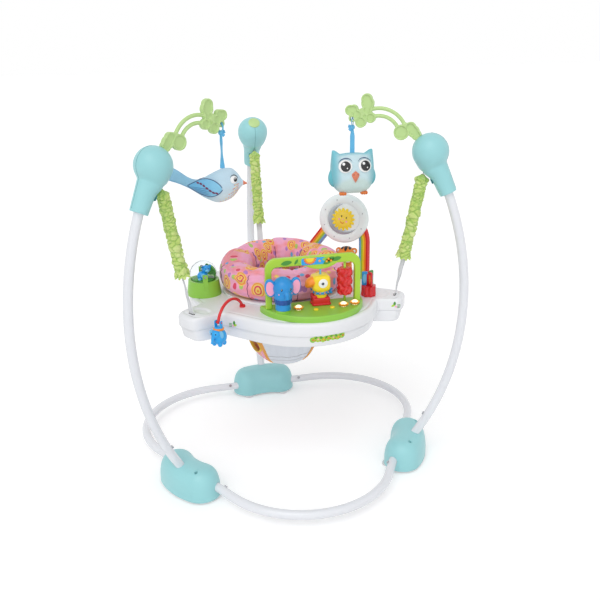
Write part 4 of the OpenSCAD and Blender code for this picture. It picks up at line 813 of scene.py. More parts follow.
def tray_rings(steps):
    """Grid from (radius, height) pairs per step; a radius may vary with direction."""
    r = np.stack([np.broadcast_to(radius, outline.shape) for radius, _ in steps], 1)
    return MIDDLE + round_points(r, tray_turn[:, None], np.array([height for _, height in steps]))


def tray_shell(name, grid, node):
    """One shell of the tray as a piece."""
    return make_piece(
        name, [patch(grid, white, close_u=True, close_v=True)], "tray", [node])


def spread_rings(start, end, shares, z):
    """Flat rings between two radii, at shares of the way."""
    return [(start + k * (end - start), z) for k in shares]


quarter = np.linspace(0, np.pi / 2, 7)
steps = [(HOLE_R, SEAM_Z), (HOLE_R, 0.4464), (HOLE_R + 0.0004, 0.4474), (HOLE_R + 0.0014, TRAY_Z)]
steps += spread_rings(HOLE_R + 0.0014, outline - 0.0195, np.linspace(0.02, 1, 46), TRAY_Z)
steps += [(outline - 0.0175, 0.4468), (outline - 0.0155, 0.4468), (outline - 0.0135, TRAY_Z)]
steps += [(outline - EDGE_R * (1 - math.sin(a)), TRAY_Z - EDGE_R * (1 - math.cos(a))) for a in quarter]
steps += [(outline, 0.432), (outline, 0.4205), (outline - 0.0006, 0.4188), (outline - 0.0016, SEAM_Z),
          (outline - 0.008, SEAM_Z)]
tray_grid = tray_rings(steps)
DISH_AT, DISH_WIDE, DISH_LONG, DISH_DEEP = 0.259, 0.026, 0.015, 0.0022
for degrees in POSTS.values():
    offset = (tray_grid - polar(DISH_AT, degrees, 0)) @ turned_axes(degrees).T
    dish = np.hypot(offset[..., 1] / DISH_WIDE, offset[..., 0] / DISH_LONG)
    on_top = tray_grid[..., 2] > 0.4455
    tray_grid[..., 2] -= np.where(on_top, DISH_DEEP * (1 - smooth_step(dish, 0.75, 1.05)), 0)
tray_upper = tray_shell("tray_upper_shell", tray_grid, "tray_top")
steps = [(HOLE_R, LOWER_TOP), (HOLE_R, 0.3895), (HOLE_R + 0.0015, UNDERSIDE)]
steps += spread_rings(HOLE_R + 0.0015, outline - 0.019, np.linspace(0.1, 1, 8), UNDERSIDE)
steps += [(outline - 0.019 + 0.009 * math.sin(a), 0.3925 - 0.0045 * math.cos(a)) for a in quarter]
steps += [(outline - 0.007, 0.405), (outline - 0.0042, 0.4168), (outline - 0.005, LOWER_TOP)]
tray_lower = tray_shell("tray_lower_shell", tray_rings(steps), "tray_bottom")
print("tray", len(tray_upper.data.polygons), len(tray_lower.data.polygons))

# %% [markdown]
# ## Prints on the tray's wall
# A leaf sprig with short strokes sits on both front lugs, and a garland of leaves and berries on the
# front. They could be drawn in the material, but thin raised shapes stay sharp at any distance. Each is
# laid on the wall in the plane that touches it at its middle.

# %% Tray prints


def oval(width, height, n=28):
    """Points of an ellipse."""
    return circle(0.5, n) * [width, height]


def leaf(length, width, n=32):
    """Points of an oval with two tips."""
    points = oval(length, width, n)
    return points * np.stack([np.ones(n), np.abs(np.sin(full_turn(n))) ** 0.5], -1)


def flower(radius, petals, depth, n=60):
    """Points of a round outline with petals."""
    return (1 - depth * (0.5 - 0.5 * np.cos(petals * full_turn(n))))[:, None] * circle(radius, n)


def wall_print(shape, degrees, z, material, spin=0.0, lift=0.0002):
    """Thin print on the tray's outer wall, which leans inwards below the seam."""
    t = math.radians(degrees) + np.array([-0.004, 0.0, 0.004])
    reach = tray_outline(t) - np.interp(z, [0.3925, 0.405, 0.4168, SEAM_Z], [0.01, 0.007, 0.0042, 0.0])
    before, point, after = MIDDLE + round_points(reach, t, z)
    side = unit(after - before)
    outward = unit(np.cross(side, [0, 0, 1]) - [0, 0, 0.24 if z < SEAM_Z else 0.0])
    axes = turned_axes(spin) @ np.stack([side, np.cross(outward, side), outward])
    return slab(shape, 0.0007, 0.0002, material, point + lift * outward, axes)


prints = []
for degrees, z, way in ((228.6, 0.4255, 1.0), (323.4, 0.4315, -0.42)):
    for length, width, along, rise, material, spin in (
            (0.011, 0.0062, 0.6, 0.0045, deep_green, 85), (0.0095, 0.0052, 1.3, -0.0005, lime, 25),
            (0.0075, 0.004, -0.1, -0.003, pink, -35)):
        prints.append(wall_print(leaf(length, width), degrees + along * way, z + rise, material, spin))
    for k in range(3):
        stroke = rounded_box(0.0085, 0.0013, 0.0005)
        prints.append(wall_print(stroke, degrees - 1.9 * way, z + 0.0012 - 0.0034 * k, deep_green, 5 * k))
for k in range(13):
    at, low = 270.5 + 1.2 * k, 0.408 + 0.001 * math.sin(1.1 * k) + 0.00015 * k
    bush, blade = (lime if k % 3 else console_plastic), (deep_green if k % 2 else lime)
    blossom = (red, pink, orange)[k // 2 % 3]
    prints += [
        wall_print(oval(0.0122, 0.0152, 24), at, low + 0.0015 * (k % 2), bush, 20 * (-1) ** k,
                   0.0001 * (k % 3)),
        wall_print(leaf(0.0085, 0.004), at + 0.3, low + 0.0045, blade, 60 - 25 * k % 120, 0.0005)]
    if k % 2 == 0:
        prints += [
            wall_print(flower(0.0027, 5, 0.35), at + 0.2, low + 0.0005, blossom, 10 * k, 0.0007),
            wall_print(oval(0.0019, 0.0019, 12), at + 0.2, low + 0.0005, yellow, 0, 0.001)]
    else:
        prints.append(wall_print(oval(0.003, 0.003, 14), at, low - 0.0027, red, 0, 0.0006))
make_piece("tray_leaf_prints", prints, "tray")
print("tray prints", len(prints))

# %% [markdown]
# ## Printed seat cloth
# The collar and the sling are pink cotton with a scattered print. A drawn picture would repeat, a Voronoi
# pattern scatters by itself. The print is a group of its own: rings in the cells of one pattern, over a
# second layer of small discs with a colour for each cell.

# %% Print and seat materials
scatter_print, g_in, g_out = new_group(
    "scatter_print", [("Ground", COLOUR, WHITE), ("Size", NUMBER, 24.0)], [("Colour", COLOUR)])
print_uv = add_node(scatter_print, "UVMap")
print_uv.uv_map = "UVMap"


def cells(tree, vector, scale):
    """Voronoi cells: distance to the cell's point, and the cell's own random colour."""
    node = add_node(tree, "TexVoronoi", Vector=vector, Scale=scale, Randomness=0.8)
    node.voronoi_dimensions = "2D"
    return node.outputs["Distance"], node.outputs["Color"]


def palette(tree, factor, colours):
    """Constant colour ramp with equal steps."""
    node = add_node(tree, "ValToRGB", Fac=factor)
    node.color_ramp.interpolation = "CONSTANT"
    stops = node.color_ramp.elements
    while len(stops) < len(colours):
        stops.new(0.5)
    for k, colour in enumerate(colours):
        stops[k].position = k / len(colours)
        stops[k].color = colour
    return node.outputs["Color"]


orange_print, yellow_print, lilac_print = linear(250, 150, 70), linear(253, 216, 112), linear(192, 130, 206)
blue_print, green_print, rose_print = linear(112, 176, 226), linear(180, 214, 104), linear(232, 70, 104)
patches = noise(scatter_print, print_uv.outputs[0], 26.0, 1.0)
soft = add_node(scatter_print, "MapRange", Value=patches)
soft.inputs["From Min"].default_value = 0.45
soft.inputs["From Max"].default_value = 0.62
colour = blend_colour(scatter_print, soft.outputs[0], g_in.outputs["Ground"], linear(252, 154, 164))
for scale_share, rings, colours in (
        (2.1, ((0.0, 0.27),),
         [blue_print, lilac_print, yellow_print, green_print, rose_print, lilac_print]),
        (1.0, ((0.0, 0.36), (0.27, 0.33), (0.13, 0.2), (0.0, 0.06)),
         [yellow_print, orange_print, rose_print, orange_print])):
    scale = maths(scatter_print, "MULTIPLY", g_in.outputs["Size"], scale_share)
    distance, random_colour = cells(scatter_print, print_uv.outputs[0], scale)
    parts = add_node(scatter_print, "SeparateColor", Color=random_colour)
    present = maths(scatter_print, "GREATER_THAN", parts.outputs[2], 0.42)
    for k, (inside, outside) in enumerate(rings):
        ring = maths(scatter_print, "SUBTRACT",
                     *(maths(scatter_print, "LESS_THAN", distance, r) for r in (outside, inside)))
        tint = palette(scatter_print, parts.outputs[0], colours) if len(rings) == 1 else colours[k]
        colour = blend_colour(scatter_print, maths(scatter_print, "MULTIPLY", ring, present), colour, tint)
scatter_print.links.new(colour, g_out.inputs["Colour"])


def printed_cloth(name, ground, size):
    """Woven cloth whose colour comes from the scattered print."""
    material = cloth(name, ground, 900.0, 0.13)
    tree = material.node_tree
    figure = add_node(tree, "Group")
    figure.node_tree = scatter_print
    figure.inputs["Ground"].default_value = linear(*ground)
    figure.inputs["Size"].default_value = size
    weave = next(n for n in tree.nodes if n.type == "GROUP" and n.node_tree == woven_cloth)
    tree.links.new(figure.outputs["Colour"], weave.inputs["Colour"])
    return material


seat_print = printed_cloth("seat_print", (254, 178, 212), 25.0)
seat_lining = cloth("seat_lining", (232, 236, 244), 700.0, 0.15)
seat_binding = cloth("seat_binding", (252, 206, 70), 1200.0, 0.2)
orange_binding = cloth("orange_binding", (242, 166, 62), 1200.0, 0.2)
print("seat cloth", [m.name for m in (seat_print, seat_lining, seat_binding, orange_binding)])

# %% [markdown]
# ## Seat collar
# The seat's rim is a padded ring sewn in eight channels. A cloth simulation swells well but blurs seams,
# so the ring is worked out: its section is a squarish oval that is drawn in at every seam, taller at the
# back, and fuller towards the child. Small gathers beside the seams and slanted creases, narrow bell
# curves across the section, make the cloth look pulled over its filling.

# %% Collar
CHANNELS, COLLAR_R, COLLAR_FOOT = 8, 0.127, 0.4538
turn, t = np.meshgrid(full_turn(480), full_turn(96), indexing="ij")
channel = turn / (2 * np.pi) * CHANNELS + 0.5
from_seam = np.abs(np.mod(channel, 1) - 0.5) / CHANNELS * 2 * np.pi * COLLAR_R
seam = 1 - 0.045 * np.exp(-(from_seam / 0.006) ** 2) - 0.022 * np.exp(-(from_seam / 0.026) ** 2)
gathers = np.exp(-from_seam / 0.02) * np.cos(t * 17 + np.floor(channel) * 1.9)
sway = np.sin(3 * turn + 0.7) * np.sin(2 * t + 0.4)
sway = sway + 0.6 * np.sin(5 * turn - 1.1 + t) + 0.5 * np.sin(11 * turn + 2 * t)
crease = np.zeros_like(t)
for at, level, slope, depth, width, reach in (
        (205, 140, 0.5, 4.5, 0.1, 0.3), (216, 175, -0.4, 4, 0.12, 0.26), (243, 118, 0.6, 4, 0.1, 0.24),
        (190, 112, -0.7, 4, 0.12, 0.22), (262, 152, 0.2, 3.5, 0.1, 0.28), (300, 128, 0.5, 4, 0.1, 0.24),
        (60, 48, 0.5, 4.5, 0.12, 0.3), (95, 62, -0.5, 4.5, 0.12, 0.26), (130, 72, 0.4, 5, 0.12, 0.3),
        (152, 100, 0.6, 4, 0.1, 0.24), (20, 72, 0.2, 4, 0.1, 0.26), (340, 120, -0.4, 3.5, 0.1, 0.24),
        (228, 92, -0.6, 3.5, 0.09, 0.22), (282, 96, 0.5, 3.5, 0.09, 0.22), (110, 96, 0.5, 3.5, 0.09, 0.22),
        (40, 100, -0.5, 3.5, 0.09, 0.22)):
    away = np.mod(turn - math.radians(at) + np.pi, 2 * np.pi) - np.pi
    across = np.mod(t - math.radians(level) - slope * away + np.pi, 2 * np.pi) - np.pi
    window = np.exp(-(away / reach) ** 2) * depth / 1000
    banks = 0.35 * np.exp(-((np.abs(across) - 2.4 * width) / (1.3 * width)) ** 2)
    crease += window * (banks - np.exp(-(across / width) ** 2))
half_width = np.where(np.cos(t) > 0, 0.0485, 0.0345) * seam + 0.0012 * gathers + 0.001 * sway
height = (0.074 + 0.014 * np.maximum(np.sin(turn), 0)) * seam + 0.0014 * sway
r = COLLAR_R - half_width * signed_power(np.cos(t), 0.82) - crease * np.cos(t)
lift = signed_power(np.sin(t), 0.8)
z = COLLAR_FOOT + height / 2 * (1 + lift) + np.where(lift > 0, (0.0012 * gathers + crease) * lift, 0)
collar_grid = MIDDLE + round_points(r, turn, z)
padding = patch(collar_grid, seat_print, close_u=True, close_v=True, uv=(0.8, 0.2))
collar = make_piece("seat_padded_collar", [padding], "seat", ["seat_collar"])
seams = []
for k in range(CHANNELS):
    column = np.roll(collar_grid[k * 480 // CHANNELS], -24, 0)[10:86]
    outward = unit(column - column.mean(0))
    sideways = turned_axes(k * 360 / CHANNELS)[1] + [0, 0, 0.01]
    seams.append(sweep(column + 0.0002 * outward, circle(0.0009, 6), thread_dark, up=sideways))
make_piece("seat_collar_seams", seams, "seat")
print("collar", len(collar.data.polygons))

# %% [markdown]
# ## Sling
# The cloth bag below the ring carries the child. It could be draped by simulation, but it hangs under
# tension, so a profile that narrows downwards with soft folds is enough. It is printed at the sides, with
# a plain front panel between two tapes. Each leg opening is bound with a folded tape.

# %% Sling
SLING_TOP, SLING_DROP, SLING_R, SLING_GIRTH, SLING_COLUMNS, INSET = 0.4534, 0.205, 0.1342, 0.84, 288, 0.0009
sling_table = [(0, 0.02), (0.004, 0.2), (0.012, 0.34), (0.03, 0.43), (0.12, 0.555), (0.3, 0.7), (0.5, 0.85),
               (0.64, 0.96), (0.71, 0.998), (0.85, 1.0), (1, 1.0)]
profile = spline(sling_table, 150)
height_share = np.maximum.accumulate(np.clip(profile[:, 0], 0, 1))
radius_share = np.clip(profile[:, 1], 0.02, 1.0)
turn = full_turn(SLING_COLUMNS)[:, None]
fold = 0.025 * (1 - smooth_step(height_share, 0.5, 0.68)) * smooth_step(height_share, 0.02, 0.12)
r = SLING_R * radius_share * (1 + fold * np.cos(8 * turn) + 0.4 * fold * np.cos(19 * turn + 1)) - INSET
grid = MIDDLE + round_points(r, turn, SLING_TOP - SLING_DROP * (1 - height_share))
LEG_AHEAD, leg_z, leg_r = 0.018, SLING_TOP - SLING_DROP + 0.078, 0.042
leg_y = AXIS_Y - LEG_AHEAD


def outside_legs(points):
    """Faces of the grid whose middle lies outside both leg openings."""
    faces, _ = grid_quads(points.shape[0], points.shape[1], False, False)
    middle = points.reshape(-1, 3)[faces].mean(1)
    return np.hypot(middle[:, 1] - leg_y, middle[:, 2] - leg_z) > leg_r - 0.001


pieces = []
left_edge, right_edge = 178, 250
for first, last, material in (
        (left_edge, right_edge, seat_lining), (right_edge, left_edge + SLING_COLUMNS, seat_print)):
    part = grid[np.arange(first, last + 1) % SLING_COLUMNS]
    span = SLING_GIRTH * len(part) / SLING_COLUMNS
    pieces.append(dict(patch(part, material, uv=(span, 0.2)), keep=outside_legs(part)))
sling = make_piece("seat_cloth_sling", pieces, "seat", ["seat_sling"], solid=False)


def sewn_on(path, lift, section, material, uv=(1.0, 1.0)):
    """Tape or thread along a path on the sling, lifted a little from the cloth."""
    outward = unit((path - MIDDLE) * [1, 1, 0])
    return sweep(path + lift * outward, section, material, up=outward, uv=uv)


low_row, high_row, wide_row, thin_row = np.searchsorted(height_share, (0.035, 0.93, 0.16, 0.1))
tapes = [sewn_on(
    grid[column, low_row:high_row], 0.0003, rounded_box(0.0095, 0.0022, 0.001), orange_binding,
    (0.2, 0.02)) for column in (left_edge, right_edge)]
tapes += [sewn_on(grid[left_edge:right_edge + 1, row], 0.0002, circle(thick, 8), grey)
          for row, thick in ((wide_row, 0.0009), (thin_row, 0.0006))]
for sign in (-1, 1):
    a = full_turn(96)
    y, z = leg_r * np.cos(a), leg_z + leg_r * np.sin(a)
    share = 1 - (SLING_TOP - z) / SLING_DROP
    reach = SLING_R * np.interp(share, height_share, radius_share) - INSET
    path = np.stack([sign * np.sqrt(np.maximum(reach ** 2 - (y - LEG_AHEAD) ** 2, 1e-6)), y + leg_y, z], -1)
    binding = rounded_box(0.0036, 0.009, 0.0017)
    tapes.append(sweep(path, binding, seat_binding, up=(sign, 0, 0.001), closed=True, uv=(0.27, 0.02)))
make_piece("leg_opening_tapes", tapes, "seat")
print("sling area", round(mesh_area(sling), 4))

# %% [markdown]
# ## Stuffed bird
# A plush bird hangs from the left arm. Sculpting it would lose its sizes, so its body is a loft of ovals
# along its length, from the raised tail to the beak. Colours are painted on the points: a paler breast, a
# darker tail, a salmon beak. The wings are pads with a piped edge and stitched lines.

# %% Places on a toy


def stand_on(points, i, j, top=(0, 0, 1)):
    """Point of a grid with its local right, up and outward axes."""
    p = points[i, j]
    across = points[(i + 1) % len(points), j] - points[i - 1, j]
    along = points[i, (j + 1) % points.shape[1]] - points[i, j - 1]
    outward = unit(np.cross(across, along))
    if np.dot(outward, p - points.reshape(-1, 3).mean(0)) < 0:
        outward = -outward
    right_way = unit(np.cross(np.asarray(top, float), outward))
    return p, np.stack([right_way, np.cross(outward, right_way), outward])


def badge(point, axes, offset, size, thick, edge, material, dome=0.0, n=28):
    """Flat oval plate at an offset, right, up and outwards, from a point of a surface."""
    return slab(oval(*size, n), thick, edge, material, moved(point, axes, *offset), axes, dome=dome)


def balls(point, axes, *rows):
    """Ellipsoids from rows of offset along the axes, radii, material and fineness."""
    return [ball(moved(point, axes, *offset), radii, material, axes, n=n)
            for offset, radii, material, n in rows]


def taper(n, places, sizes):
    """n sizes along a sweep, straight between the given places from 0 to 1."""
    return np.interp(np.linspace(0, 1, n), places, sizes)


HOOK_R, HOOK_Z = HEAD_R - 0.183, HEAD_Z + 0.071
bird_axes = turned_axes(-14)
bird_length, bird_height, bird_depth = 0.182, 0.076, 0.054
bird_top = polar(HOOK_R, 210, HOOK_Z - 0.098 - 0.53 * bird_height - 0.0004)
bird_origin = bird_top - 0.7 * bird_length * bird_axes[0]
bird_table = [[0.0, 0.43, 0.33, 0.1], [0.016, 0.41, 0.46, 0.26], [0.137, 0.28, 0.4, 0.28],
              [0.264, 0.105, 0.33, 0.33], [0.36, 0.0, 0.4, 0.48], [0.445, -0.046, 0.57, 0.66],
              [0.53, -0.045, 0.78, 0.86], [0.618, -0.026, 0.95, 0.98], [0.709, 0.026, 1, 1],
              [0.802, 0.08, 0.9, 0.88], [0.855, 0.1, 0.7, 0.7], [0.896, 0.11, 0.46, 0.48],
              [0.94, 0.09, 0.19, 0.2], [1, 0.066, 0.03, 0.04]]
print("bird starts at", bird_origin.round(3))

# %% Bird
stations = spline(bird_table, 150)
turn = full_turn(96)
along, rise, tall, deep = stations.T[:, :, None]
local = np.stack([np.broadcast_to(along * bird_length, (150, 96)), deep * bird_depth / 2 * np.cos(turn),
                  rise * bird_height + tall * bird_height / 2 * np.sin(turn)], -1)
wobble = 0.0004 * np.sin(90 * local[..., 0] + 3 * turn)
wobble += 0.0003 * np.sin(230 * local[..., 2] + 60 * local[..., 0])
local[..., 1] += np.sign(local[..., 1]) * np.where(np.abs(local[..., 1]) > 0.004, wobble, 0)
bird_grid = bird_origin + local @ bird_axes
share = local[..., 0] / bird_length
low_side = np.clip(-(local[..., 2] - rise * bird_height) / (tall * bird_height / 2 + 1e-6), -1, 1)
breast = smooth_step(low_side, -0.2, 0.9) * smooth_step(share, 0.45, 0.72) * 0.8
tail = smooth_step(low_side, 0.55, 1.0) * (1 - smooth_step(share, 0.3, 0.42)) * 0.8
colour = mixed(linear(158, 212, 244), linear(206, 233, 250), smooth_step(share, 0.25, 0.75))
colour = mixed(colour, linear(232, 244, 251), breast)
colour = mixed(colour, linear(112, 182, 234), tail)
colour = mixed(colour, linear(236, 138, 104), smooth_step(share, 0.948, 0.956))
ends = [np.broadcast_to(bird_grid[k].mean(0), (1, 96, 3)) for k in (0, -1)]
closed_grid = np.concatenate([ends[0], bird_grid, ends[1]])
closed_colour = np.concatenate([colour[:1], colour, colour[-1:]])
body = patch(closed_grid, plush_paint, close_v=True, paint=closed_colour)
bird = make_piece("bird_stuffed_body", [body], "bird", ["bird_body"])
trim = []
for side in (1, -1):
    j_eye = 5 if side > 0 else 43
    p, axes = stand_on(bird_grid, 112, j_eye)
    way = 1 if np.dot(axes[0], bird_axes[0]) > 0 else -1
    trim += [
        badge(p, axes, (0, 0, 0.0002), (0.0172, 0.0176), 0.0022, 0.0009, bright_white, 0.0016, 40),
        badge(p, axes, (0.0026 * way, 0, 0.0024), (0.0086, 0.0096), 0.0012, 0.0004, black, 0.0006),
        badge(p, axes, (0.0014 * way, 0.0022, 0.0037), (0.0028, 0.0028), 0.0006, 0.0002, bright_white,
              n=12)]
    t = np.linspace(0.15, 1.0, 14) * np.pi
    brow = moved(p, axes, -0.01 * way * np.cos(t), 0.0098 * np.sin(t) + 0.001, 0.0007)
    thickness = np.sin(np.linspace(0.2, np.pi - 0.2, 14))
    trim.append(sweep(brow, circle(0.0009, 8), black, up=axes[2], size=thickness))
    for row in range(5):
        for k, i in enumerate(range(114 - 7 * row + 2 * (row % 2), 130 - row, 4)):
            j = 94 - 4 * row if side > 0 else 50 + 4 * row
            p_dot, axes_dot = stand_on(bird_grid, i, j)
            dot_finish = (plush_orange, sun_orange, plush_orange, plush_salmon)[(k + 3 * row) % 4]
            trim.append(ball(p_dot, (0.0014, 0.0014, 0.0006), dot_finish, axes_dot, n=6))
make_piece("bird_eyes_and_dots", trim, "bird")

wings, piping = [], []
for side in (-1, 1):
    u, t = tube_steps(80, 96)
    x = 0.255 + 0.45 * u
    half = 0.31 * np.maximum(np.sin(np.pi * u ** 1.15), 0) ** 0.7 * (0.6 + 0.4 * u)
    swell = np.maximum(np.sin(np.pi * u), 0) ** 0.5
    z = (0.03 - 0.07 * u) * bird_height + half * bird_height * np.sin(t)
    body_y = bird_depth / 2 * np.interp(x, stations[:, 0], stations[:, 3])
    mid_z = bird_height * np.interp(x, stations[:, 0], stations[:, 1])
    half_z = bird_height / 2 * np.interp(x, stations[:, 0], stations[:, 2])
    skin_y = body_y * np.sqrt(np.clip(1 - ((z - mid_z) / half_z) ** 2, 0.03, 1))
    y = skin_y + 0.0034 * swell * (1.0 + np.cos(t)) - 0.001
    wing_local = np.stack([x * bird_length, side * y, z], -1)
    wing_grid = bird_origin + wing_local @ bird_axes
    shade = mixed(linear(120, 196, 242), linear(148, 214, 248), smooth_step(u, 0.3, 0.9))
    feather = sum(np.exp(-((np.sin(t) + level) / 0.05) ** 2) for level in (0.93, 0.76, 0.56, 0.34, 0.1))
    feather = np.clip(feather, 0, 1) * (1 - smooth_step(u, 0.5, 0.72)) * (np.cos(t) > 0)
    shade = mixed(shade, linear(40, 92, 158), feather * 0.85)
    wings.append(patch(wing_grid, plush_paint, close_v=True, paint=shade))
    rim = np.concatenate([wing_grid[:, 24], wing_grid[::-1, 72]])
    rim = rim[np.linalg.norm(np.diff(rim, axis=0, prepend=rim[:1] - 1), axis=1) > 1e-5]
    piping.append(sweep(rim, circle(0.0011, 8), ink_plush, up=bird_axes[1]))
    for k in range(7):
        i, j = 24 + 7 * k, round(math.asin(0.72 - 0.24 * k) / (2 * np.pi) * 96) % 96
        p, axes = stand_on(wing_grid, i, j)
        lean = 1 if np.dot(axes[0], bird_axes[0]) > 0 else -1
        slant = 0.55 * np.array([-axes[1], lean * axes[0]])
        dash_axes = np.stack([unit(lean * axes[0] + slant[0]), unit(axes[1] + slant[1]), axes[2]])
        piping.append(ball(p, (0.0042, 0.0024, 0.0009), thread_dark, dash_axes, n=8))
make_piece("bird_stuffed_wings", wings, "bird", ["bird_wings"])
make_piece("bird_wing_piping", piping, "bird")
print("bird", len(bird.data.polygons))

# %% [markdown]
# ## Stuffed owl
# A plush owl hangs from the right arm: a squarish pillow with two pointed ears. A subdivided box could be
# pulled into that shape, but rings that are super-ellipses, whose corners rise at the top, give it at
# once. The face has two large eyes, brows and a beak, the belly is paler, and wings and feet stick out.

# %% Owl
owl_axes = turned_axes(-2)
owl_width, owl_height, owl_depth = 0.104, 0.095, 0.06
owl_origin = polar(HOOK_R, 330, HOOK_Z - 0.078 - owl_height - 0.0004)
owl_table = [[0, 0.2, 0.16, 0], [0.012, 0.46, 0.42, 0], [0.06, 0.68, 0.68, 0], [0.18, 0.87, 0.93, 0],
             [0.4, 0.985, 1.02, 0], [0.62, 1.0, 0.98, 0], [0.8, 0.985, 0.8, 0.08],
             [0.91, 0.965, 0.56, 0.42], [0.965, 0.95, 0.28, 0.9], [0.975, 0.92, 0.05, 1]]
stations = spline(owl_table, 120)
turn = full_turn(128)
level, wide, deep, ear = np.maximum(stations.T, 0)[:, :, None]
cosine, sine = np.cos(turn), np.sin(turn)
spread = np.abs(cosine) ** 0.72
corner = smooth_step(spread, 0.56, 0.95)
dome = np.clip(1 - (spread / 0.62) ** 2, 0, 1)
owl_local = np.stack(
    [owl_width / 2 * wide * signed_power(cosine, 0.72), owl_depth / 2 * deep * signed_power(sine, 0.72),
     owl_height * level + ear * (0.0098 * corner + 0.0026 * dome)], -1)
close_row = owl_local[-1].copy()
close_row[:, 1] = 0
owl_local = np.concatenate([owl_local[:1] * [0, 0, 1], owl_local, close_row[None]])
owl_grid = owl_origin + owl_local @ owl_axes
x, y, z = owl_local[..., 0] / owl_width, owl_local[..., 1] / owl_depth, owl_local[..., 2] / owl_height
front = 1 - smooth_step(y, -0.28, -0.05)
face_light = front * (1 - smooth_step(np.abs(x), 0.26, 0.49))
belly = front * (1 - smooth_step(np.hypot(x / 0.43, (z - 0.16) / 0.27), 0.7, 1.15))
colour = mixed(linear(126, 208, 224), linear(218, 243, 251), face_light)
colour = mixed(colour, linear(216, 238, 234), belly * 0.9)
pillow = patch(owl_grid, plush_paint, close_v=True, paint=colour)
owl = make_piece("owl_stuffed_body", [pillow], "owl", ["owl_body"])


def on_front(x_mm, z_mm):
    """Point of the owl's front nearest to a place right of and above its foot, with its axes."""
    across, depth, rise = np.moveaxis(owl_local, -1, 0)
    distance = np.hypot(across - x_mm / 1000, rise - z_mm / 1000) + 10 * (depth > 0)
    i, j = np.unravel_index(np.argmin(distance), distance.shape)
    return stand_on(owl_grid, i, j)


face = []
for x_mm in (-23.5, 23.5):
    p, axes = on_front(x_mm, 67.5)
    for offset, size, thick, edge, material, dome, n in (
            ((0, 0, 0.0004), (0.0325, 0.031), 0.0022, 0.0009, bright_white, 0.0022, 40),
            ((0.0006, -0.0004, 0.0031), (0.0236, 0.0244), 0.0014, 0.0005, black, 0.001, 36),
            ((-0.0042, 0.005, 0.0048), (0.0068, 0.0068), 0.0008, 0.0003, bright_white, 0.0, 20),
            ((0.004, -0.005, 0.0046), (0.0032, 0.0032), 0.0008, 0.0003, bright_white, 0.0, 16)):
        face.append(badge(p, axes, offset, size, thick, edge, material, dome, n))
    t = np.linspace(0.08, 0.92, 30) * np.pi
    tilt = 0.0016 * np.sign(-x_mm)
    brow = moved(p, axes, 0.0165 * np.cos(t), 0.013 * np.sin(t) + 0.0058 + tilt * np.cos(t), 0.0012)
    thickness = 0.3 + np.sin(np.linspace(0, np.pi, 30))
    face.append(sweep(brow, circle(0.0008, 8), ink_plush, up=axes[2], size=thickness))
p, axes = on_front(0, 42.5)
beak_side = np.array([[0.0042, -0.006], [0.0082, 0.002], [0.0078, 0.0062], [0.004, 0.0088]])
beak_shape = np.vstack([[0, -0.0125], beak_side, [0, 0.0122], beak_side[::-1] * [-1, 1]])
face.append(slab(1.12 * beak_shape, 0.003, 0.001, plush_salmon, p + 0.0006 * axes[2], axes, dome=0.0042))
for side in (-1, 1):
    nostril = moved(p, axes, side * 0.0046, 0.0048, 0.0039)
    face.append(ball(nostril, (0.0017, 0.0013, 0.0008), thread_dark, axes, n=8))
make_piece("owl_face", face, "owl")
limbs = []
for side in (-1, 1):
    u, t = tube_steps(40, 40)
    reach = np.maximum(np.sin(np.pi * u), 0) ** 0.6 * (0.55 + 0.45 * (1 - u))
    wing_local = np.stack([side * (0.044 + 0.0185 * reach * np.cos(t) * np.where(np.cos(t) > 0, 1, 0.6)),
                           0.013 * reach * np.sin(t), owl_height * (0.16 + 0.56 * u)], -1)
    limbs.append(patch(
        owl_origin + wing_local @ owl_axes, plush_paint, close_v=True, paint=linear(112, 202, 216)))
    for toe in (-1, 0, 1):
        place = (side * 0.0262 + 0.0052 * toe, -0.0135 - 0.002 * (toe == 0), 0.0012)
        foot = moved(owl_origin, owl_axes, *place)
        limbs.append(ball(foot, (0.0036, 0.0088, 0.0046), plush_orange, owl_axes, n=12))
make_piece("owl_stuffed_limbs", limbs, "owl", ["owl_limbs"])
print("owl", len(owl.data.polygons))

# %% [markdown]
# ## Ribbons
# A flat ribbon loops through each arm's hole, is knotted below it, and hangs down to the toy with a slow
# twist. It is short and taut, so a thin section swept along a line is enough and nothing has to be
# simulated.

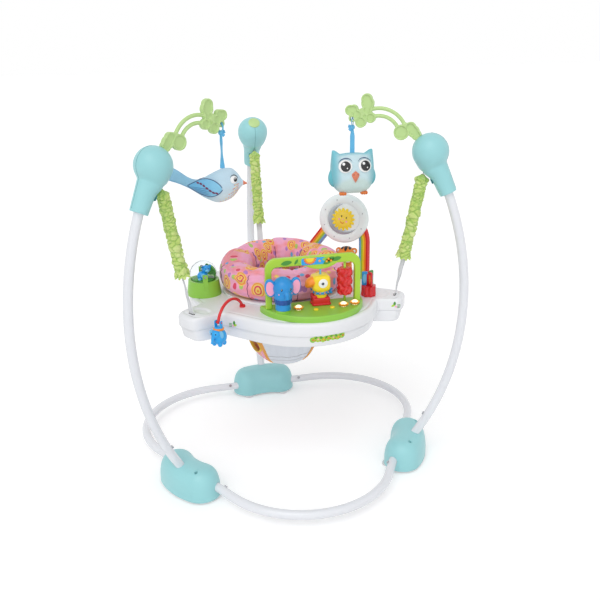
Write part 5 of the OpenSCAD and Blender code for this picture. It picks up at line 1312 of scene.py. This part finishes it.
# %% Ribbons
KNOT_DROP = 0.0195
for side, body, length, sewn_in, swirl, away in (("left", "bird", 0.098, 0.001, 1.1, 1),
                                                 ("right", "owl", 0.078, 0.0065, 0.25, -1)):
    hook = polar(HOOK_R, POSTS[side], HOOK_Z)
    plane = turned_axes(POSTS[side])
    hang = turned_axes(-14)
    t = full_turn(48)
    loop = moved(hook, plane, 0, 0.0088 * np.sin(t), -0.0075 + 0.01 * np.cos(t))
    parts = [sweep(loop, rounded_box(0.0052, 0.0011, 0.0005), ribbon_cloth, up=plane[0], closed=True,
                   uv=(0.06, 0.012))]
    knot = moved(hook, plane, 0, 0, -KNOT_DROP)
    parts.append(ball(knot, (0.0058, 0.005, 0.0056), ribbon_cloth, hang, square=0.8, n=16))
    for lean, rise in ((0.9, 0.3), (0.7, -0.6)):
        way = unit(away * lean * hang[0] + rise * hang[2] - 0.3 * hang[1])
        tail = knot + np.outer(np.linspace(0, 0.011, 8), way)
        parts.append(sweep(
            tail, rounded_box(0.0075, 0.0011, 0.0005), ribbon_cloth, up=hang[1], uv=(0.012, 0.012)))
    s = np.linspace(0, 1, 60)
    drop = knot + np.outer(s * (length - KNOT_DROP + sewn_in), [0, 0, -1])
    twist = swirl * np.sin(np.pi * s)
    ups = np.cos(twist)[:, None] * hang[1] + np.sin(twist)[:, None] * hang[0]
    width = 0.55 + 0.45 * smooth_step(s, 0.05, 0.35)
    parts.append(sweep(
        drop, rounded_box(0.0112, 0.0012, 0.0005), ribbon_cloth, up=ups, size=width, uv=(0.1, 0.024)))
    make_piece(f"{body}_hanging_ribbon", parts, body, [f"{body}_ribbon"])
    print(body, "ribbon", length, "metres")

# %% [markdown]
# ## Moulded arms and arch
# The leafy toy arms and the console's arch have soft, rounded edges. A Bevel fails where many short edges
# meet, so a copy of the CAD mesh is voxelised and smoothed with a few rounds of averaging over
# neighbours. The arms' leaves are then hollowed a little.

# %% Softened copies


def softened(name, node, material, body, voxel, rounds, shape=None):
    """Smoothed voxel copy of a CAD node as a piece; shape may move its points."""
    source = nodes[node]
    copy = bpy.data.objects.new(name + "_copy", source.data.copy())
    copy.matrix_world = source.matrix_world
    scene.collection.objects.link(copy)
    remesh = copy.modifiers.new("voxels", "REMESH")
    remesh.mode = "VOXEL"
    remesh.voxel_size = voxel
    bpy.context.view_layer.update()
    graph = bpy.context.evaluated_depsgraph_get()
    mesh = bpy.data.meshes.new_from_object(copy.evaluated_get(graph))
    mesh.transform(copy.matrix_world)
    bpy.data.objects.remove(copy)
    points = np.empty(len(mesh.vertices) * 3)
    mesh.vertices.foreach_get("co", points)
    points = points.reshape(-1, 3)
    edges = np.empty(len(mesh.edges) * 2, int)
    mesh.edges.foreach_get("vertices", edges)
    a, b = edges.reshape(-1, 2).T
    count = np.bincount(np.concatenate([a, b]), minlength=len(points))[:, None]
    for _ in range(rounds):
        for pull in (0.6, -0.62):
            total = np.zeros_like(points)
            np.add.at(total, a, points[b])
            np.add.at(total, b, points[a])
            points = points + pull * (total / np.maximum(count, 1) - points)
    if shape is not None:
        points = shape(points)
    mesh.vertices.foreach_set("co", points.ravel())
    mesh.materials.clear()
    mesh.materials.append(material)
    mesh.polygons.foreach_set("material_index", np.zeros(len(mesh.polygons), np.int32))
    mesh.name = name
    return set_up(name, mesh, body, [node])


LOBES = 0.2 * np.array(
    [[0.165, 0.18, 0.115], [0.2, 0.22, 0.135], [0.235, 0.265, 0.125], [0.29, 0.262, 0.11],
     [0.34, 0.208, 0.175], [0.735, 0.53, 0.15], [0.745, 0.575, 0.13], [0.74, 0.45, 0.11],
     [0.7, 0.368, 0.12], [0.8, 0.43, 0.09], [0.86, 0.4, 0.12], [0.815, 0.318, 0.13], [0.94, 0.45, 0.12],
     [0.9, 0.46, 0.11], [0.915, 0.36, 0.085]])
LEAVES = [[0, 1, 2], [4], [5, 6], [7, 8], [10], [11], [12, 13]]


def hollow_leaves(degrees):
    """Dishes each leaf of an arm: the deeper inside a leaf's outline, the lower its face, down to 3 mm."""
    root, axes = polar(HEAD_R, degrees, HEAD_Z), turned_axes(degrees)

    def move(points):
        local = (points - root) @ axes.T
        across, depth, rise = -local[:, 0], local[:, 1], local[:, 2]
        sink = np.zeros(len(points))
        for lobes in LEAVES:
            inside = np.max([wide / 2 - np.hypot(across - x, rise - z) for x, z, wide in LOBES[lobes]], 0)
            sink = np.maximum(sink, smooth_step(inside, 0.003, 0.0046))
        crest = 1 - smooth_step(np.abs(depth), 0.0, 0.0062)
        local[:, 1] -= np.sign(depth) * 0.003 * sink * (1 - crest) * (np.abs(depth) > 0.003)
        return local @ axes + root

    return move


for side in ("left", "right"):
    arm = softened(f"{side}_leaf_arm", f"{side}_toy_arm", leaf_plastic, "frame", 0.0011, 10,
                   hollow_leaves(POSTS[side]))
    out_way, sideways, upward = turned_axes(POSTS[side])
    web_at = polar(HEAD_R - 0.155, POSTS[side], HEAD_Z + 0.077)
    web_axes = np.stack([out_way, upward, -sideways])
    web = slab(oval(0.0125, 0.0125), 0.0084, 0.0012, leaf_plastic, web_at, web_axes)
    make_piece(f"{side}_arm_web", [web], "frame")
arch = softened("console_rounded_arch", "console_arch", lime, "tray", 0.0013, 14)
print("arm faces", len(arm.data.polygons), "arch faces", len(arch.data.polygons))

# %% [markdown]
# ## Console toys
# Small moulded figures stand between the console and its arch. They could be sculpted; ellipsoids, turned
# profiles and swept tubes are quicker and keep their sizes. The first is a blue elephant that swivels on
# its foot.

# %% Elephant
FRONT = np.array([[1.0, 0, 0], [0, 0, 1], [0, -1, 0]])
elephant_at = np.array([-0.05, -0.224 + AXIS_Y, 0.4674])
head = elephant_at + [0, 0, 0.052]
face_axes = turned_axes(7)
parts = [ball(head, (0.024, 0.0245, 0.025), blue, n=36)]
body_profile = spline(
    [[0.0, 0.0], [0.016, 0.0], [0.0177, 0.0013], [0.0178, 0.006], [0.0178, 0.014], [0.0188, 0.022],
     [0.0208, 0.029], [0.0224, 0.036], [0.021, 0.044], [0.012, 0.048], [0.0, 0.0485]], 76)
parts.append(lathe(np.maximum(body_profile, 0), elephant_at, blue, n=72))
band = spline([[0.0172, 0.014], [0.0188, 0.0142], [0.0198, 0.0165], [0.0212, 0.0235], [0.021, 0.0262],
               [0.0194, 0.0265]], 30)
band = np.vstack([band, band[:1]])
parts.append(lathe(band, elephant_at, navy, n=120, flutes=14, depth=0.05))
for side in (-1, 1):
    x, y = circle(1.0, 48).T
    ear = np.stack([side * (0.0136 * x + 0.0016 * y), 0.0212 * y * (1 + 0.06 * x)], -1)
    place = head + [side * 0.0282, 0.001, 0.0005]
    parts += [
        slab(ear, 0.0088, 0.0034, blue, place, FRONT, dome=0.001),
        slab(ear * [0.7, 0.78], 0.0016, 0.0007, pink, place + [side * 0.0016, -0.0051, -0.0005], FRONT,
             dome=0.0004)]
    eye = moved(head, face_axes, side * 0.0102, -0.0216, 0.0006)
    parts += [
        ball(eye, (0.0024, 0.002, 0.0028), black, n=12),
        ball(eye + [-0.0007, -0.0015, 0.0011], (0.0008, 0.0006, 0.0008), bright_white, n=6)]
    cheek = moved(head, face_axes, side * 0.015, -0.016, -0.0108)
    parts.append(ball(cheek, (0.0018, 0.0012, 0.0018), pink, n=10))
trunk = spline([[0.0, -0.019, -0.006], [0.0002, -0.0255, -0.0105], [0.0004, -0.0275, -0.0165],
                [0.0004, -0.0285, -0.0215]], 40)
parts.append(sweep(head + trunk @ face_axes, circle(0.0056, 20), blue, up=(1, 0, 0),
                   size=np.linspace(1.25, 0.7, 40)))
make_piece("elephant_moulded_figure", parts, "elephant", ["elephant_figure"])
print("elephant", len(parts), "grids")

# %% [markdown]
# ## Parrot, perch and spinner
# A yellow parrot turns on a red perch, and a red spinner turns beside it. The parrot's beak is a tube
# that bends and narrows; the spinner's knobs are a turned profile whose radius also waves around the
# axis, which a Screw modifier couldn't do.

# %% Parrot, perch and spinner
parrot_at = np.array([0.045, -0.197 + AXIS_Y, 0.4804])
head = parrot_at + [0, 0, 0.0346]
parts = [ball(head, (0.0214, 0.0195, 0.0196), yellow, square=0.42, n=40)]
trunk = spline([
    [0.0, 0.0], [0.0125, 0.0], [0.0142, 0.0014], [0.0155, 0.008], [0.0172, 0.016], [0.0192, 0.026],
    [0.016, 0.034], [0.0, 0.0345]], 56)
parts.append(lathe(trunk, parrot_at, yellow, n=64))
beak = spline([[-0.008, -0.002, 0.003], [-0.017, -0.003, 0.0045], [-0.0255, -0.0032, 0.0015],
               [-0.0305, -0.003, -0.0058], [-0.0312, -0.003, -0.0105]], 40)
parts.append(sweep(head + beak, oval(0.0245, 0.0292, 28), orange, up=(0, -1, 0),
                   size=taper(40, [0, 0.35, 0.6, 0.85, 0.96, 1], [0.98, 1.0, 0.86, 0.5, 0.24, 0.1])))
for side in (-1, 1):
    eye_axes = FRONT if side < 0 else FRONT * np.array([[-1], [1], [-1]])
    eye = head + [0.0015, side * 0.0192, 0.002]
    parts += [
        slab(oval(0.0216, 0.0216, 40), 0.002, 0.0008, bright_white, eye, eye_axes, dome=0.0012),
        slab(oval(0.0076, 0.0076, 24), 0.0012, 0.0004, grey, eye + [-0.001, side * 0.0021, 0], eye_axes),
        slab(oval(0.0054, 0.0054, 20), 0.0014, 0.0004, black, eye + [-0.001, side * 0.0024, 0], eye_axes)]
collar_ring = spline(
    [[0.014, 0.0085], [0.0176, 0.0088], [0.0188, 0.0112], [0.0186, 0.0142], [0.0165, 0.0156]], 24)
collar_ring = np.vstack([collar_ring, collar_ring[:1]])
parts.append(lathe(collar_ring, parrot_at, blue, n=120, flutes=10, depth=0.08))
for bead in round_points(0.0186, full_turn(10), 0.0125):
    parts.append(ball(parrot_at + bead, (0.0019, 0.0019, 0.0018), orange, n=8))
tail = parrot_at + spline([[0.012, 0, 0.006], [0.019, 0, 0.0085], [0.0262, 0, 0.0135]], 24)
parts.append(sweep(tail, oval(0.008, 0.0105, 20), blue, up=(0, 1, 0),
                   size=taper(24, [0, 0.5, 0.9, 1], [0.9, 1, 0.9, 0.3])))
for k in (-1, 1):
    parts.append(ball(parrot_at + [0.0255, 0, 0.012 + 0.0042 * k], (0.0042, 0.0042, 0.0028), blue, n=10))
tag = moved(parrot_at, np.eye(3), 0, 0, np.linspace(0.05, 0.0712, 12))
parts.append(sweep(tag, rounded_box(0.0049, 0.0049, 0.002), pale_blue, up=(0, 1, 0)))
make_piece("parrot_moulded_figure", parts, "parrot", ["parrot_figure"])

perch_at = np.array([0.045, -0.197 + AXIS_Y, 0.4619])
perch = []
for wide, deep, corner, thick, edge, place in (
        (0.0415, 0.027, 0.004, 0.0155, 0.0028, [0, 0, 0.0102]),
        (0.045, 0.032, 0.005, 0.005, 0.0018, [0, 0, 0.0027]),
        (0.013, 0.024, 0.003, 0.01, 0.0026, [-0.015, 0.0015, 0.019])):
    outline = rounded_box(wide, deep, corner)
    perch.append(slab(outline, thick, edge, red, perch_at + place, np.eye(3)))
perch.append(lathe([[0.0, 0.0], [0.003, 0.0], [0.003, 0.033], [0.0, 0.0335]], perch_at, steel, n=24))
make_piece("parrot_red_perch", perch, "tray", ["parrot_perch"])

spinner_at = np.array([0.104, -0.197 + AXIS_Y, 0.462])
rounded = spline(
    [[0.0, 0.0192], [0.014, 0.0192], [0.0176, 0.0215], [0.0189, 0.0275], [0.0181, 0.035], [0.0162, 0.0395],
     [0.0179, 0.044], [0.0189, 0.051], [0.018, 0.058], [0.0163, 0.0625], [0.018, 0.067], [0.0189, 0.073],
     [0.0178, 0.0795], [0.014, 0.0828], [0.0, 0.083]], 140)
rounded = np.maximum(rounded, [0, 0.0192])
turn = full_turn(180)[:, None]
wave = 0.5 - 0.5 * np.cos(7 * turn + 1.5 * np.sin(rounded[:, 1] * 300))
knobs = round_points(rounded[:, 0] * (1 - 0.2 * wave), turn, rounded[:, 1])
axle = [[0.0, -0.0054], [0.0029, -0.0054], [0.003, 0.02], [0.003, 0.082], [0.0029, 0.1032], [0.0, 0.1034]]
parts = [patch(spinner_at + knobs, red, close_u=True), lathe(axle, spinner_at, lime, n=32)]
make_piece("red_fluted_spinner", parts, "spinner", ["fluted_spinner"])
print("spinner", knobs.shape[:2], "points")

# %% [markdown]
# ## Console prints
# A flat picture runs along the arch: leaves, and half a sun in a patch of sky. As on the tray, thin
# raised shapes stay sharper than a painted texture. Each lamp shines in the middle of a cup-shaped flower
# on the console, a turned profile with flutes for its petals.

# %% Console prints
ARCH_FRONT = -0.203 + AXIS_Y


def arch_print(shape, x, z, material, spin=0.0, lift=0.0):
    """Thin print on the front of the arch."""
    return slab(shape, 0.0008, 0.0002, material, [x, ARCH_FRONT - lift, z], turned_axes(spin) @ FRONT)


def half_sun(radius, teeth, depth, n=97):
    """Lower half of a toothed disc, about a point inside it."""
    a = np.linspace(np.pi, 2 * np.pi, n)
    r = radius * (1 - depth * np.abs(np.mod((a / np.pi - 1) * teeth, 1) * 2 - 1))
    return np.stack([r * np.cos(a), r * np.sin(a) + 0.4 * radius], -1)


picture = [arch_print(rounded_box(0.056, 0.0165, 0.004), 0.027, 0.5684, azure)]
for radius, depth, material, lift in ((0.0165, 0.22, red, 0.0003), (0.0136, 0.0, orange, 0.0006),
                                      (0.0095, 0.0, yellow, 0.0009)):
    picture.append(arch_print(half_sun(radius, 9, depth), 0.019, 0.5763 - 0.4 * radius, material, 0, lift))
for x, z, size, spin, material in (
        (-0.036, 0.569, 0.026, 8, deep_green), (-0.013, 0.57, 0.014, 55, deep_green),
        (-0.0075, 0.5662, 0.011, -30, console_plastic), (0.064, 0.5672, 0.03, 30, deep_green),
        (0.06, 0.57, 0.024, -10, console_plastic), (0.082, 0.57, 0.024, 12, deep_green)):
    picture.append(arch_print(leaf(size, 0.42 * size), x, z, material, spin, 0.0003))
for x, z in ((0.063, 0.5712), (0.069, 0.5668), (0.0585, 0.566), (0.042, 0.568)):
    picture += [
        arch_print(flower(0.0034, 5, 0.4), x, z, orange, 20, 0.0006),
        arch_print(oval(0.0026, 0.0026, 12), x, z, yellow, 0, 0.0009)]
make_piece("arch_printed_picture", picture, "tray")
petals = []
cup = np.array([
    [0.0, 0.0002], [0.0062, 0.0002], [0.01, 0.0022], [0.0128, 0.0062], [0.0121, 0.0068], [0.0094, 0.0034],
    [0.0058, 0.0016], [0.0, 0.0014]])
for x, y in ((-0.014, -0.222), (0.092, -0.228), (0.121, -0.222)):
    on_console = np.array([x, y + AXIS_Y, 0.4622])
    petals += [
        lathe(cup, on_console, orange, n=96, flutes=8, depth=0.24),
        lathe(cup * [0.86, 0.9] + [0, 0.0009], on_console, sun_yellow, n=96, flutes=8, depth=0.2),
        ball(on_console + [0, 0, 0.0052], (0.0076, 0.0076, 0.0058), lamp_glow, n=20)]
make_piece("lamp_flower_petals", petals, "tray")
print("console prints", len(picture))

# %% [markdown]
# ## Rainbow stand
# A striped bow stands at the tray's edge and carries a round white housing. Stripes in a material would
# lie flat, so each of the six bands is a bar of its own, swept along an upright leg, an arc and a slanted
# leg. The housing is a turned profile with a conical back.

# %% Rainbow stand
STAND_DEG, DISC_DEG = 33, 243
stand_axes = turned_axes(STAND_DEG)
stand_at = moved(polar(0, 0, TRAY_Z), stand_axes, 0.182, -0.1205, 0)
bands = []
ARC_END, ARC_R, LEG_TOP = 41.5, 0.062, 0.099
slant = np.array([math.sin(math.radians(ARC_END)), -math.cos(math.radians(ARC_END))])
for k, material in enumerate([red, orange, yellow, lime, pale_blue, purple]):
    wide, deep, ahead = (0.00526, 0.011, 0.0) if k < 5 else (0.0015, 0.0036, -0.0037)
    offset = 0.01135 - 0.0053 * k if k < 5 else -0.01325
    a = np.radians(np.linspace(180, ARC_END, 70))
    arc_normal = np.stack([np.cos(a), np.sin(a)], -1)
    arc = [ARC_R, LEG_TOP] + (ARC_R + offset) * arc_normal
    leg = np.stack([np.full(24, -offset), np.linspace(0.0003, 0.0985, 24)], -1)
    run = np.linspace(0.001, (arc[-1, 1] - 0.0003) / -slant[1], 50)[:, None]
    flat = np.concatenate([leg, arc, arc[-1] + run * slant])
    normal = np.concatenate(
        [np.tile([-1.0, 0.0], (24, 1)), arc_normal, np.tile([-slant[1], slant[0]], (50, 1))])
    path = stand_at + np.insert(flat, 0, ahead, 1) @ stand_axes
    bands.append(sweep(
        path, rounded_box(deep, wide, 0.0005), material, up=np.insert(normal, 0, 0, 1) @ stand_axes))
disc_at = moved(stand_at, stand_axes, -0.03, 0.0444, 0.162)
disc_front, disc_side, upward = turned_axes(DISC_DEG)
disc_axes = np.stack([disc_side, upward, disc_front])
profile = [[0.0, -0.037], [0.0395, -0.037], [0.0415, -0.036], [0.043, -0.0335], [0.06, -0.012],
           [0.0628, -0.0075], [0.064, -0.002], [0.0638, 0.004], [0.0618, 0.008], [0.058, 0.0104],
           [0.053, 0.011], [0.0425, 0.011], [0.0416, 0.0106], [0.0414, 0.0098], [0.0414, 0.0045],
           [0.0, 0.004]]
bands.append(lathe(profile, disc_at, ice_white, disc_axes, n=128))
for spot in round_points(0.052, full_turn(8) + 0.1 * np.pi, 0.0109):
    bands.append(ball(disc_at + spot @ disc_axes, (0.0018, 0.0018, 0.0006), grey, disc_axes, n=8))
make_piece("rainbow_bands_and_housing", bands, "tray", ["rainbow_stand"])
print("rainbow", len(bands), "grids")

# %% [markdown]
# ## Sun disc
# A white disc with a silver crescent and a smiling sun turns inside the housing. Its figures are raised
# by about a millimetre, as on a moulded toy, so they are thin plates on the disc. The crescent is a strip
# between two arcs.

# %% Sun disc
face_at = disc_at + 0.0049 * disc_front
parts = [slab(oval(0.0824, 0.0824, 96), 0.005, 0.0006, ice_white, face_at + 0.003 * disc_front, disc_axes)]
t = np.linspace(0, 1, 60)
outer, inner = np.radians(90.6 + 232 * t), np.radians(110.2 + 192.8 * t)
outer_points = 0.0398 * np.stack([np.cos(outer), np.sin(outer)], -1)
inner_points = np.array([0.012, 0.006]) + 0.036 * np.stack([np.cos(inner), np.sin(inner)], -1)
heights = [-0.0006, 0.0007, 0.001, 0.001, 0.0007, -0.0006]
weights = [0.0, 0.0, 0.04, 0.96, 1.0, 1.0]
rails = [outer_points * (1 - w) + inner_points * w for w in weights]
moon = np.stack([np.insert(rail, 2, high, 1) for rail, high in zip(rails, heights)])
for tip in (0, -1):
    moon[:, tip] = moon[:, tip].mean(0)
parts.append(patch(face_at + 0.0055 * disc_front + moon @ disc_axes, silver_print, close_u=True))
tooth = np.abs(np.cos(8 * full_turn(216))) ** 0.75
petals = (0.0212 + 0.009 * tooth)[:, None] * circle(1.0, 216)
parts += [
    slab(petals, 0.0018, 0.0006, yellow, face_at + 0.0066 * disc_front, disc_axes),
    badge(face_at, disc_axes, (0, 0, 0.0075), (0.0412, 0.0412), 0.001, 0.0004, sun_orange, n=64),
    badge(face_at, disc_axes, (0, 0, 0.0078), (0.0392, 0.0392), 0.0012, 0.0004, sun_yellow, 0.0003, 64)]
smile_axes = turned_axes(-20) @ disc_axes
for side in (-1, 1):
    parts += balls(face_at, smile_axes,
                   ((side * 0.0064, 0.0068, 0.0085), (0.0017, 0.0023, 0.0005), black, 10),
                   ((side * 0.0098, -0.0026, 0.0085), (0.0027, 0.0027, 0.0004), pink, 10))
parts += balls(face_at, smile_axes, ((-0.0006, 0.0006, 0.0086), (0.0016, 0.0016, 0.0005), pink, 10))
a = np.radians(np.linspace(195, 345, 24))
smile = moved(face_at, smile_axes, 0.0046 * np.cos(a), -0.0052 + 0.005 * np.sin(a), 0.0086)
parts.append(sweep(smile, circle(0.0009, 8), red, up=disc_front))
make_piece("sun_printed_disc", parts, "sun", ["sun_disc"])
print("sun disc", len(parts), "grids")

# %% [markdown]
# ## Tiger
# An orange tiger's head sits on a neck under the bow. Its stripes are thin bars that follow the ball of
# the head, so they show in the mesh and not only in its colour.

# %% Tiger
NECK_HIGH, STRIPE_R = 0.054, 0.0251
tiger_axes = np.stack([disc_side, disc_front, upward])
tiger_at = moved(stand_at, stand_axes, 0, 0.06, NECK_HIGH)
neck = [[0.0, 0.0003], [0.016, 0.0003], [0.017, 0.0012], [0.016, 0.016], [0.014, 0.034], [0.0128, 0.05],
        [0.0, 0.051]]
parts = [ball(tiger_at, (0.025, 0.025, 0.025), orange, n=36),
         lathe(neck, tiger_at - [0, 0, NECK_HIGH], orange, n=48)]
for side in (-1, 1):
    parts += balls(tiger_at, tiger_axes,
                   ((side * 0.0206, -0.001, 0.0125), (0.0086, 0.0052, 0.0086), orange, 20),
                   ((side * 0.0212, 0.0035, 0.0128), (0.004, 0.0024, 0.0044), bright_white, 14),
                   ((side * 0.0088, 0.0228, 0.002), (0.003, 0.0018, 0.0038), black, 12),
                   ((side * 0.0062, 0.0222, -0.0082), (0.0078, 0.0046, 0.0058), bright_white, 16))
parts += balls(tiger_at, tiger_axes, ((0, 0.0262, -0.0045), (0.0034, 0.0022, 0.0024), black, 12))
for x, reach in ((-0.01, 0.62), (0.0, 0.92), (0.01, 0.62)):
    r = math.sqrt(STRIPE_R ** 2 - x ** 2)
    a = np.linspace(1.62, 1.62 - reach, 26)
    stripe = moved(tiger_at, tiger_axes, x, r * np.cos(a), r * np.sin(a))
    parts.append(sweep(stripe, oval(0.0088, 0.0012, 14), black, up=stripe - tiger_at,
                       size=taper(26, [0, 0.1, 0.5, 0.9, 1], [0.7, 0.95, 1.0, 0.55, 0.2])))
make_piece("tiger_moulded_head", parts, "tray", ["tiger_figure"])
print("tiger", len(parts), "grids")

# %% [markdown]
# ## Clear ball
# A clear ball turns on two pins in a green cradle and holds a small scene: a plate, a hill and a bear. A
# dark strip inside the shell is painted shade for the dark edge of the clear ball. Glass shaders bend what
# is behind them, so the shell's index of refraction is close to that of air, as in a thin shell.

# %% Clear ball
ball_at = np.array([-0.203, AXIS_Y, 0.5])
parts = [ball(ball_at, (0.034, 0.034, 0.034), clear_plastic, n=48)]
for side in (-1, 1):
    parts.append(lathe([[0.0, 0.033], [0.003, 0.033], [0.003, 0.0395], [0.0, 0.0398]], ball_at, grey,
                       np.array([[1, 0, 0], [0, 0, -side], [0, side, 0]]), n=24))
make_piece("ball_clear_shell", parts, "ball", ["clear_ball"])
plate = [[0.0, -0.015], [0.0272, -0.015], [0.028, -0.014], [0.0282, -0.013], [0.0, -0.0128]]
parts = [lathe(plate, ball_at, deep_green, n=64)]
lon, lat = np.meshgrid(np.linspace(-0.5, 1.15, 30), np.linspace(-0.44, 1.0, 28), indexing="ij")
crest = 0.74 + 0.06 * np.sin(9 * lon)
hill = 0.0312 * np.stack(
    [np.cos(lat) * np.cos(lon), 0.9 * np.cos(lat) * np.sin(lon), crest * np.sin(lat)], -1)
shell = np.concatenate([hill, 0.95 * hill[:, ::-1]], 1)
ends = [0.975 * np.concatenate([hill[k:k + 1], hill[k:k + 1, ::-1]], 1) for k in (0, len(hill) - 1)]
parts.append(patch(ball_at + np.concatenate([ends[0], shell, ends[1]]), deep_green, close_v=True))
# Painted shade: a dark strip along the shell's edge as the camera sees it, grey and thinner on the right.
for start, end, thick, material in ((84, 205, 0.0022, smoke), (-30, 84, 0.001, grey)):
    a = np.radians(np.linspace(start, end, 60))
    rim = np.stack([np.cos(a), 0 * a, np.sin(a)], -1)
    thickness = 0.4 + 0.6 * np.sin(np.linspace(0, np.pi, 60))
    parts.append(sweep(
        ball_at + 0.0322 * rim, rounded_box(thick, 0.0008, 0.0003), material, up=rim, size=thickness))
stud = ball_at + [-0.005, -0.012, 0.0225]
parts += [
    ball(stud, (0.003, 0.0026, 0.003), smoke, n=12),
    ball(stud + [0.0006, -0.0018, 0.0004], (0.0012, 0.0012, 0.0012), bright_white, n=8)]
body, bear = ball_at + [-0.003, -0.007, -0.0045], ball_at + [0.0068, -0.007, 0.0125]
for centre, size, material in ((body, (0.0132, 0.01, 0.0122), blue), (bear, (0.0108, 0.0092, 0.0098), blue),
                               (body + [0.0008, -0.0074, 0.0016], (0.0066, 0.0036, 0.0062), pale_blue),
                               (bear + [0.0014, -0.0066, -0.0024], (0.0058, 0.0036, 0.0048), pale_blue)):
    parts.append(ball(centre, size, material, n=20))
for side in (-1, 1):
    parts += [
        ball(bear + [side * 0.0084, -0.0005, 0.0064], (0.004, 0.0024, 0.004), blue, n=12),
        ball(body + [side * 0.007 - 0.001, -0.008, -0.006], (0.004, 0.0036, 0.0036), pale_blue, n=12),
        ball(bear + [side * 0.0036 + 0.001, -0.0084, 0.0028], (0.0009, 0.0007, 0.0011), black, n=6)]
make_piece("ball_little_scene", parts, "ball", ["ball_figure"])
print("scene in the ball", len(parts), "grids")

# %% [markdown]
# ## Picture drum
# Three picture panels stand round a red post and turn with it, like the leaves of a book. Each panel is a
# plate with round corners and one plain raised oval on both faces.

# %% Picture drum
drum_at = np.array([0.186, -0.132 + AXIS_Y, 0.4484])
foot = spline([[0.0, 0.0], [0.0168, 0.0], [0.0186, 0.0014], [0.019, 0.005], [0.0184, 0.016],
               [0.0186, 0.0235], [0.0176, 0.0256], [0.0, 0.026]], 60)
parts = [lathe(np.maximum(foot, 0), drum_at, red, n=160, flutes=8, depth=0.12),
         lathe([[0.0, 0.02], [0.0058, 0.02], [0.0058, 0.0545], [0.0048, 0.0556], [0.0, 0.0558]], drum_at,
               red, n=40)]
panels = ((166, blue, pale_blue, 0.014), (280, red, orange, 0.0125), (40, deep_green, azure, 0.0155))
for degrees, material, motif, wide in panels:
    outward, sideways, upward = turned_axes(degrees)
    panel_axes = np.stack([outward, upward, -sideways])
    centre = moved(drum_at, panel_axes, 0.0028 + wide / 2, 0.0435, 0)
    parts.append(slab(rounded_box(wide, 0.0352, 0.003), 0.0048, 0.001, material, centre, panel_axes))
    for face_side in (-1, 1):
        spot = moved(centre, panel_axes, 0.0004, 0, face_side * 0.0023)
        parts.append(ball(spot, (0.34 * wide, 0.0118, 0.0005), motif, panel_axes, n=20))
make_piece("drum_picture_panels", parts, "drum", ["picture_drum"])
print("drum", len(panels), "panels")

# %% [markdown]
# ## Small elephant on the stem
# A small blue elephant swings from the tip of the red stem, between two tabs. Like the console's figures
# it is put together from ellipsoids, a turned neck and a swept trunk, all placed from the stem's tip,
# about which it swings.

# %% Small elephant on the stem
STEM_DEG, STEM_R, STEM_Z, STEM_LONG, STEM_RISE = 225, 0.228, 0.429, 0.051, math.radians(13)
stem_tip = polar(
    STEM_R + STEM_LONG * math.cos(STEM_RISE), STEM_DEG, STEM_Z + STEM_LONG * math.sin(STEM_RISE))
calf_axes = turned_axes(STEM_DEG)
parts = []
for side in (-1, 1):
    tab = moved(stem_tip, calf_axes, 0, side * 0.0075, np.linspace(0.0035, -0.02, 16))
    parts.append(sweep(tab, rounded_box(0.0026, 0.0096, 0.0012), azure, up=calf_axes[0]))
neck = [[0.0, -0.0105], [0.0088, -0.0105], [0.0102, -0.013], [0.0108, -0.0175], [0.0118, -0.022],
        [0.0, -0.024]]
parts.append(lathe(neck[::-1], stem_tip, azure, calf_axes, n=40))
ring = [[0.0098, -0.0182], [0.0122, -0.018], [0.0126, -0.0155], [0.0122, -0.013], [0.0092, -0.0128],
        [0.0098, -0.0182]]
parts.append(lathe(ring, stem_tip, orange, calf_axes, n=48))
parts += balls(stem_tip, calf_axes, ((0, 0, -0.0345), (0.0184, 0.0178, 0.019), azure, 28),
               ((0.0098, 0, -0.0262), (0.0118, 0.0122, 0.0112), azure, 24))
for side in (-1, 1):
    parts += balls(stem_tip, calf_axes,
                   ((0.0085, side * 0.0128, -0.0252), (0.0034, 0.0072, 0.0092), pale_blue, 16),
                   ((0.0192, side * 0.0055, -0.0228), (0.0014, 0.0015, 0.0018), black, 8),
                   ((-0.0075, side * 0.0082, -0.0495), (0.0056, 0.0056, 0.0068), azure, 14),
                   ((0.008, side * 0.0082, -0.0495), (0.0056, 0.0056, 0.0068), azure, 14))
trunk = spline([[0.018, 0, -0.028], [0.0235, 0, -0.032], [0.0252, 0, -0.0385], [0.0282, 0, -0.0432]], 24)
parts.append(sweep(
    moved(stem_tip, calf_axes, *trunk.T), circle(0.0036, 14), azure, up=calf_axes[1],
    size=np.linspace(1.2, 0.7, 24)))
make_piece("hanging_little_elephant", parts, "calf", ["hanging_elephant"])
print("small elephant", len(parts), "grids")

# %% [markdown]
# ## Sizes
# The dressed model has to stay as large as the CAD model, apart from soft cloth that may stand a little
# proud. The box round the dressed model is worked out here.

# %% Bounds of the dressed model
low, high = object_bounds()
